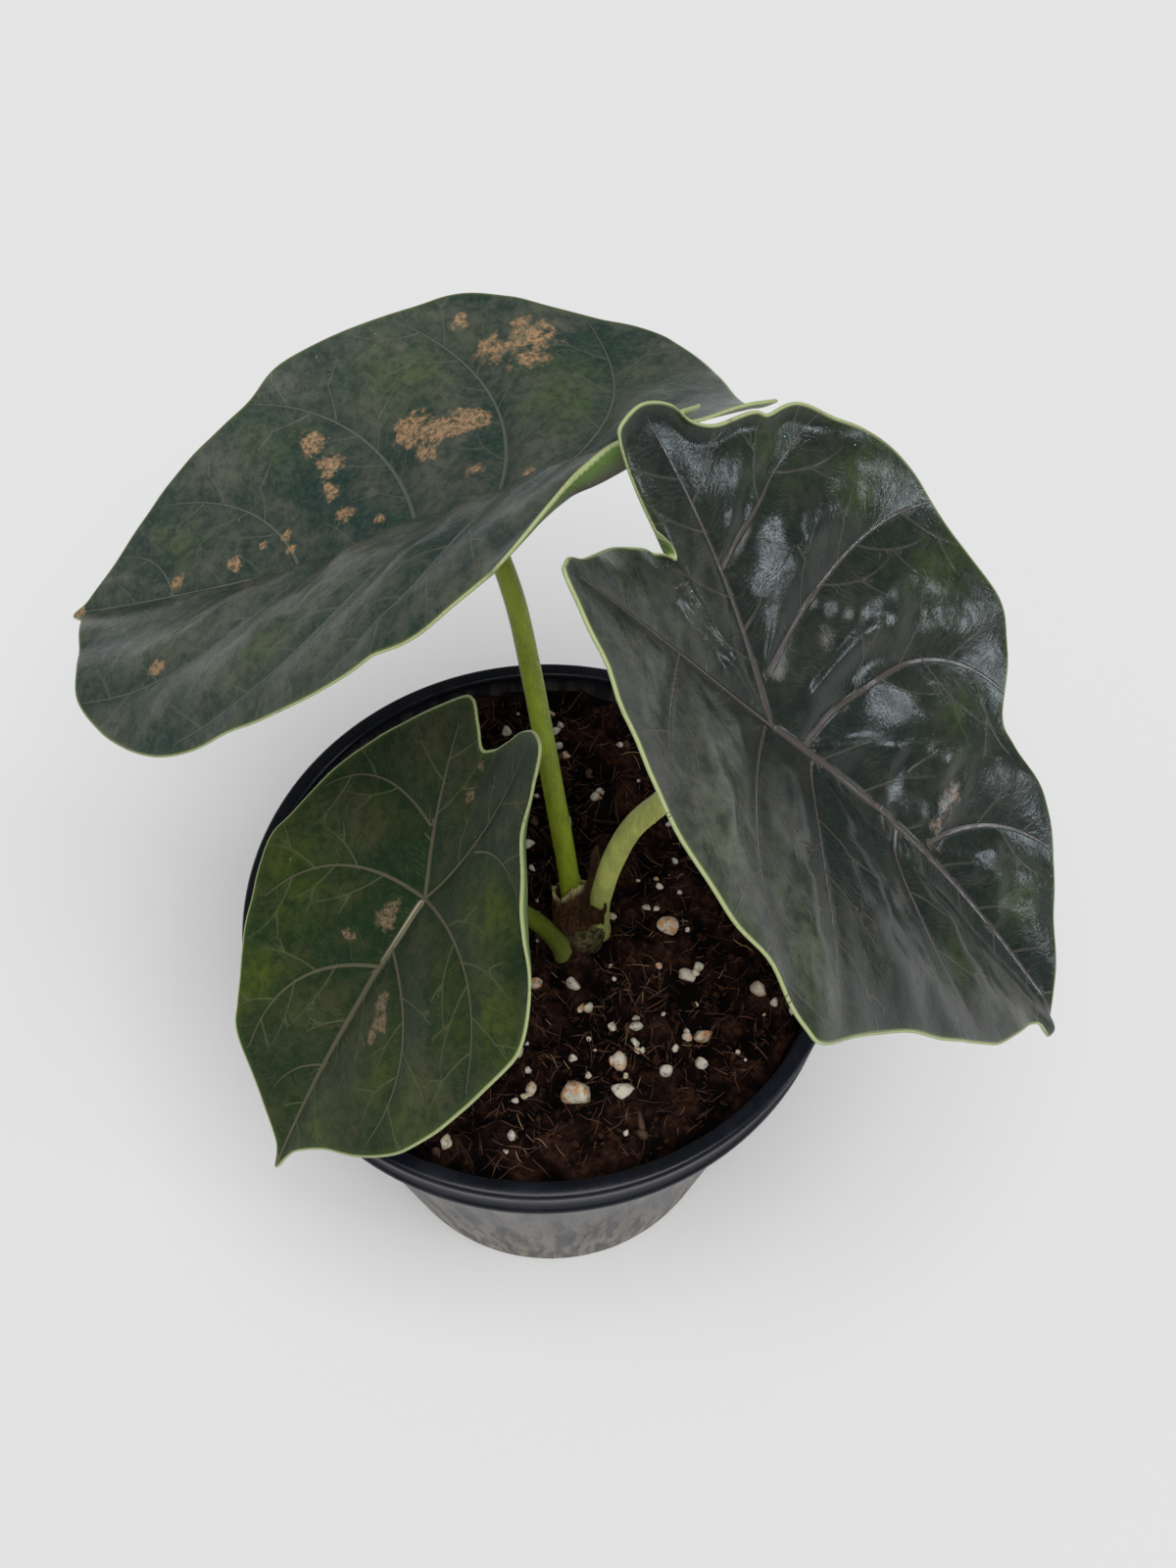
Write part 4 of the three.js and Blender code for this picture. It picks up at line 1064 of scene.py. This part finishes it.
def perlite_material():
    shader = Shader("perlite_grain")
    kind = shader.layer("kind")
    stain = shader.times(shader.ramp(kind, 0.35, 0.9), shader.ramp(shader.noise(1.6), 0.42, 0.6))
    shader.ground(shader.noise(0.8, 4.0), (0.46, 0.42, 0.34), (0.78, 0.74, 0.63))
    shader.paint(stain, shader.mix(shader.ramp(kind, 0.6, 0.62), (0.62, 0.50, 0.12), (0.55, 0.26, 0.09)))
    dirt = shader.ramp(shader.noise(1.1, 4.0, 0.7), 0.52, 0.68, 0.0, 0.85)
    shader.paint(dirt, (0.10, 0.06, 0.035))
    shader.emboss(shader.noise(0.5, 4.0, 0.7), 0.22)
    return shader.finish(0.85)


def crumb_material():
    shader = Shader("peat_crumb")
    shader.ground(shader.layer("kind"), (0.008, 0.004, 0.003), (0.055, 0.023, 0.013))
    shader.paint(shader.ramp(shader.noise(0.8, 4.0, 0.7), 0.45, 0.7), (0.016, 0.007, 0.005))
    shader.emboss(shader.noise(0.5, 4.0, 0.75), 0.35)
    return shader.finish(0.95, Specular_IOR_Level=0.06)


def fibre_material():
    shader = Shader("peat_fibre")
    kind = shader.layer("kind")
    shader.ground(shader.ramp(kind, 0.2, 0.8), (0.030, 0.010, 0.006), (0.110, 0.045, 0.022))
    shader.paint(shader.ramp(kind, 0.93, 0.97), (0.28, 0.19, 0.09))
    return shader.finish(0.8)


def bark_material():
    shader = Shader("bark_flake")
    grain = shader.noise(0.9, 4.0, 0.7, stretch=(0.3, 1.0, 1.0))
    shader.ground(grain, (0.030, 0.014, 0.008), (0.105, 0.055, 0.030))
    shader.emboss(grain, 0.2)
    return shader.finish(0.85)


def fibre(place, random):
    """A thin curved thread that lies on the crumbs."""
    x, y, length = place
    heading = random.uniform(0, 6.28)
    sag = random.uniform(-0.35, 0.35)
    route = []
    for share in (-0.5, -0.17, 0.17, 0.5):
        along = length * share
        across = length * sag * (0.25 - share ** 2)
        px = x + along * math.cos(heading) - across * math.sin(heading)
        py = y + along * math.sin(heading) + across * math.cos(heading)
        inside = min(1.0, (inner_radius(SOIL_TOP) - 0.8) / max(math.hypot(px, py), 1e-6))
        px *= inside
        py *= inside
        route.append((px, py, ground(px, py) + random.uniform(-0.1, 0.5)))
    radius = random.uniform(0.05, 0.14)
    rings, centres = tube(route, np.array([0.6, 1, 1, 0.9, 0.7, 0.3]) * radius, 6, 5)
    return capped(rings, centres)


# Plant base
# Lines up the wall of the sheath, each one its foot, middle and rim, from its right edge past the
# long point and the torn front round to its back
SHEATH = [
    [(13.2, -5.2, 110), (13.1, -6.9, 117.5), (12.9, -8.1, 124.6)],
    [(11.6, -5.6, 111.3), (10.8, -6.8, 119), (10.9, -2, 138.2)],
    [(7.8, -6.4, 109.5), (8.3, -3.6, 114.5), (9.3, 0.2, 120.4)],
    [(4.4, -6.3, 107.6), (5.3, -3.6, 111.5), (6.3, 0, 116.8)],
    [(2.4, -4.2, 107), (3, -3, 110.5), (3.9, -1, 114.4)],
    [(1.9, -1, 106.8), (1.9, 0, 109.6), (2.3, 1.4, 112.6)],
    [(2.6, 2.4, 106.6), (2.4, 3.2, 109), (2.7, 4.3, 111.4)],
    [(7, 4.4, 106.6), (6.7, 5.4, 109), (6.5, 6.3, 111.2)],
    [(11.6, 3, 107), (11.7, 3.3, 110), (11.8, 3.4, 113)],
]
SHEATH_THICKNESS = 0.5
SHEATH_COLUMNS = 180
SHEATH_ROWS = 48
RHIZOME_DEPTH = 24.0
RHIZOME_SIDES = 64
RHIZOME_RINGS = 40


def sheath_material():
    shader = Shader("dry_sheath")
    grain = shader.noise(0.6, 5.0, 0.7, stretch=(1.0, 1.0, 0.12))
    blotch = shader.noise(3.0, 4.0, 0.6)
    shader.ground(shader.ramp(grain, 0.35, 0.65), (0.018, 0.007, 0.003), (0.075, 0.034, 0.013))
    shader.paint(shader.ramp(blotch, 0.5, 0.7, 0.0, 0.5), (0.105, 0.058, 0.022))
    shader.paint(shader.times(shader.layer("torn"), shader.ramp(blotch, 0.3, 0.55)), (0.46, 0.40, 0.20))
    shader.emboss(grain, 0.3)
    return shader.finish(0.7, Specular_IOR_Level=0.2)


def sheath():
    along = np.linspace(0, 1, SHEATH_COLUMNS)
    up = np.linspace(0, 1, SHEATH_ROWS)
    levels = [curve_through([line[level] for line in SHEATH], along) for level in range(3)]
    wall = np.array([curve_through(list(line), up) for line in zip(*levels)])
    inside = np.cross(np.gradient(wall, axis=0), np.gradient(wall, axis=1))
    inside /= np.linalg.norm(inside, axis=-1)[..., None]
    column, row = np.meshgrid(along, up, indexing="ij")
    torn = smooth_step(0.78, 0.96, row) * smooth_step(0.22, 0.32, column)
    wrinkle = 0.3 * lattice_noise(column * 26, row * 2.5, 1.0, 32)
    wrinkle += 0.12 * lattice_noise(column * 70, row * 12, 1.0, 33)
    frayed = noise_sum(column, row * 0, (0.9, 1 / 42, 34), (0.5, 1 / 110, 35))
    wall[..., 2] += frayed * row ** 4 - 0.5 * frayed * (1 - row) ** 6
    outer = wall - inside * (wrinkle + 0.25 * torn * frayed)[..., None]
    inner = outer + inside * (SHEATH_THICKNESS * (1 - 0.6 * torn))[..., None]
    rings = np.concatenate([outer, inner[:, ::-1]], axis=1)
    columns, around = rings.shape[:2]
    faces = turned_over(ring_faces(columns, around))
    faces += [tuple(range(around)), tuple((columns - 1) * around + i for i in reversed(range(around)))]
    layer = np.concatenate([torn, torn[:, ::-1]], axis=1).ravel()
    add_piece("sheath_scale", rings.reshape(-1, 3), faces, "sheath", [sheath_material()],
              {"torn": layer})


def rhizome_material():
    shader = Shader("rhizome_skin")
    rings = shader.noise(1.0, 3.0, 0.6, stretch=(0.25, 0.25, 1.6))
    shader.ground(shader.ramp(rings, 0.35, 0.65), (0.035, 0.036, 0.012), (0.105, 0.098, 0.036))
    shader.paint(shader.ramp(shader.noise(1.4, 4.0), 0.45, 0.6), (0.028, 0.014, 0.008))
    shader.emboss(rings, 0.35)
    return shader.finish(0.75, Specular_IOR_Level=0.15)


def rhizome():
    profile = [(0.35, 1.0), (0.75, 0.75), (0.95, 0.45), (0.9, 0.36), (0.96, 0.30), (0.9, 0.26), (0.98, 0.20),
               (1.0, 0.16), (0.94, 0.11), (0.9, 0.05), (0.6, 0.0)]
    profile = [(radius * CROWN_RADIUS, CROWN_TOP - share * RHIZOME_DEPTH) for radius, share in profile]
    profile = curve_through(profile, np.linspace(0, 1, RHIZOME_RINGS))
    bumps = 1 + 0.03 * lattice_noise(full_turn(RHIZOME_SIDES)[None] * 2, profile[:, 1:], 1.0, 41)
    ends = np.array([(*CROWN, CROWN_TOP - RHIZOME_DEPTH), (*CROWN, CROWN_TOP)])
    points, faces = capped(turned(profile, RHIZOME_SIDES, CROWN, bumps), ends)
    add_piece("rhizome_stub", points, faces, "rhizome", [rhizome_material()])


# Making the object
under_material = blade_under_material()
for leaf_name, leaf_shape in LEAVES.items():
    top_material = blade_top_material(f"blade_{leaf_name}_top", leaf_shape)
    leaf_blade(leaf_name, leaf_shape, [top_material, under_material])
    stalk(leaf_name)
pot()
soil_bed()
rhizome()
sheath()
placing = np.random.default_rng(5)
scattered("perlite", PERLITE + random_places(placing, 150, 1.0, 2.9, 1.0),
          lump(squash=0.3, rough=0.28, sink=0.3, facets=9), perlite_material())
scattered("crumbs", random_places(placing, 2400, 0.5, 1.9), lump(squash=0.6, rough=0.5, sink=0.6),
          crumb_material())
scattered("fibres", random_places(placing, 2000, 1.5, 7.0), fibre, fibre_material())
scattered("bark", random_places(placing, 22, 2.0, 4.2, 1.0), lump(squash=0.7, rough=0.4, sink=0.45, facets=5),
          bark_material())


# Floor, lights and camera
FLOOR_HALF = 4.0
FLOOR_DROP = 0.0002


def floor():
    shader = Shader("studio_floor")
    shader.ground(shader.noise(400.0, 2.0), (0.706, 0.711, 0.719), (0.716, 0.721, 0.729))
    shader.finish(0.95, Specular_IOR_Level=0.0)
    mesh = bpy.data.meshes.new("studio_floor")
    corners = [(-1, -1), (1, -1), (1, 1), (-1, 1)]
    mesh.from_pydata([(x * FLOOR_HALF, y * FLOOR_HALF, -FLOOR_DROP) for x, y in corners], [], [(0, 1, 2, 3)])
    mesh.materials.append(shader.material)
    plane = show("studio_floor", mesh)


def sun(name, azimuth, elevation, spread, strength, colour):
    """A soft round light. azimuth is degrees from +Y towards +X, and spread is its width in the sky."""
    light = bpy.data.lights.new(name, "SUN")
    light.angle = math.radians(spread)
    light.energy = strength
    light.color = colour
    turn = (math.radians(90 - elevation), 0, math.radians(180 - azimuth))
    show(name, light).rotation_euler = turn


def sky(level):
    world = bpy.data.worlds.new("studio_sky")
    bpy.context.scene.world = world
    world.use_nodes = True
    background = world.node_tree.nodes["Background"]
    background.inputs["Color"].default_value = (0.97, 0.98, 1.0, 1.0)
    background.inputs["Strength"].default_value = level


def camera():
    lens = bpy.data.cameras.new("view")
    lens.sensor_width = CAMERA_SENSOR
    lens.lens = CAMERA_LENS
    lens.clip_start = 0.01
    lens.clip_end = 20.0
    matrix = np.eye(4)
    back = np.cross(CAMERA_RIGHT, CAMERA_UP)
    matrix[:3] = np.column_stack([CAMERA_RIGHT, CAMERA_UP, back, np.array(CAMERA_PLACE) * MM])
    eye = show("view", lens)
    eye.matrix_world = Matrix(matrix.tolist())
    bpy.context.scene.camera = eye


floor()
sky(0.18)
sun("key_light", azimuth=170, elevation=68, spread=50, strength=3.05, colour=(1.0, 0.99, 0.975))
sun("window_light", azimuth=106, elevation=13.5, spread=9, strength=0.32, colour=(0.82, 0.92, 1.0))
camera()
bpy.context.scene.view_settings.view_transform = "Standard"
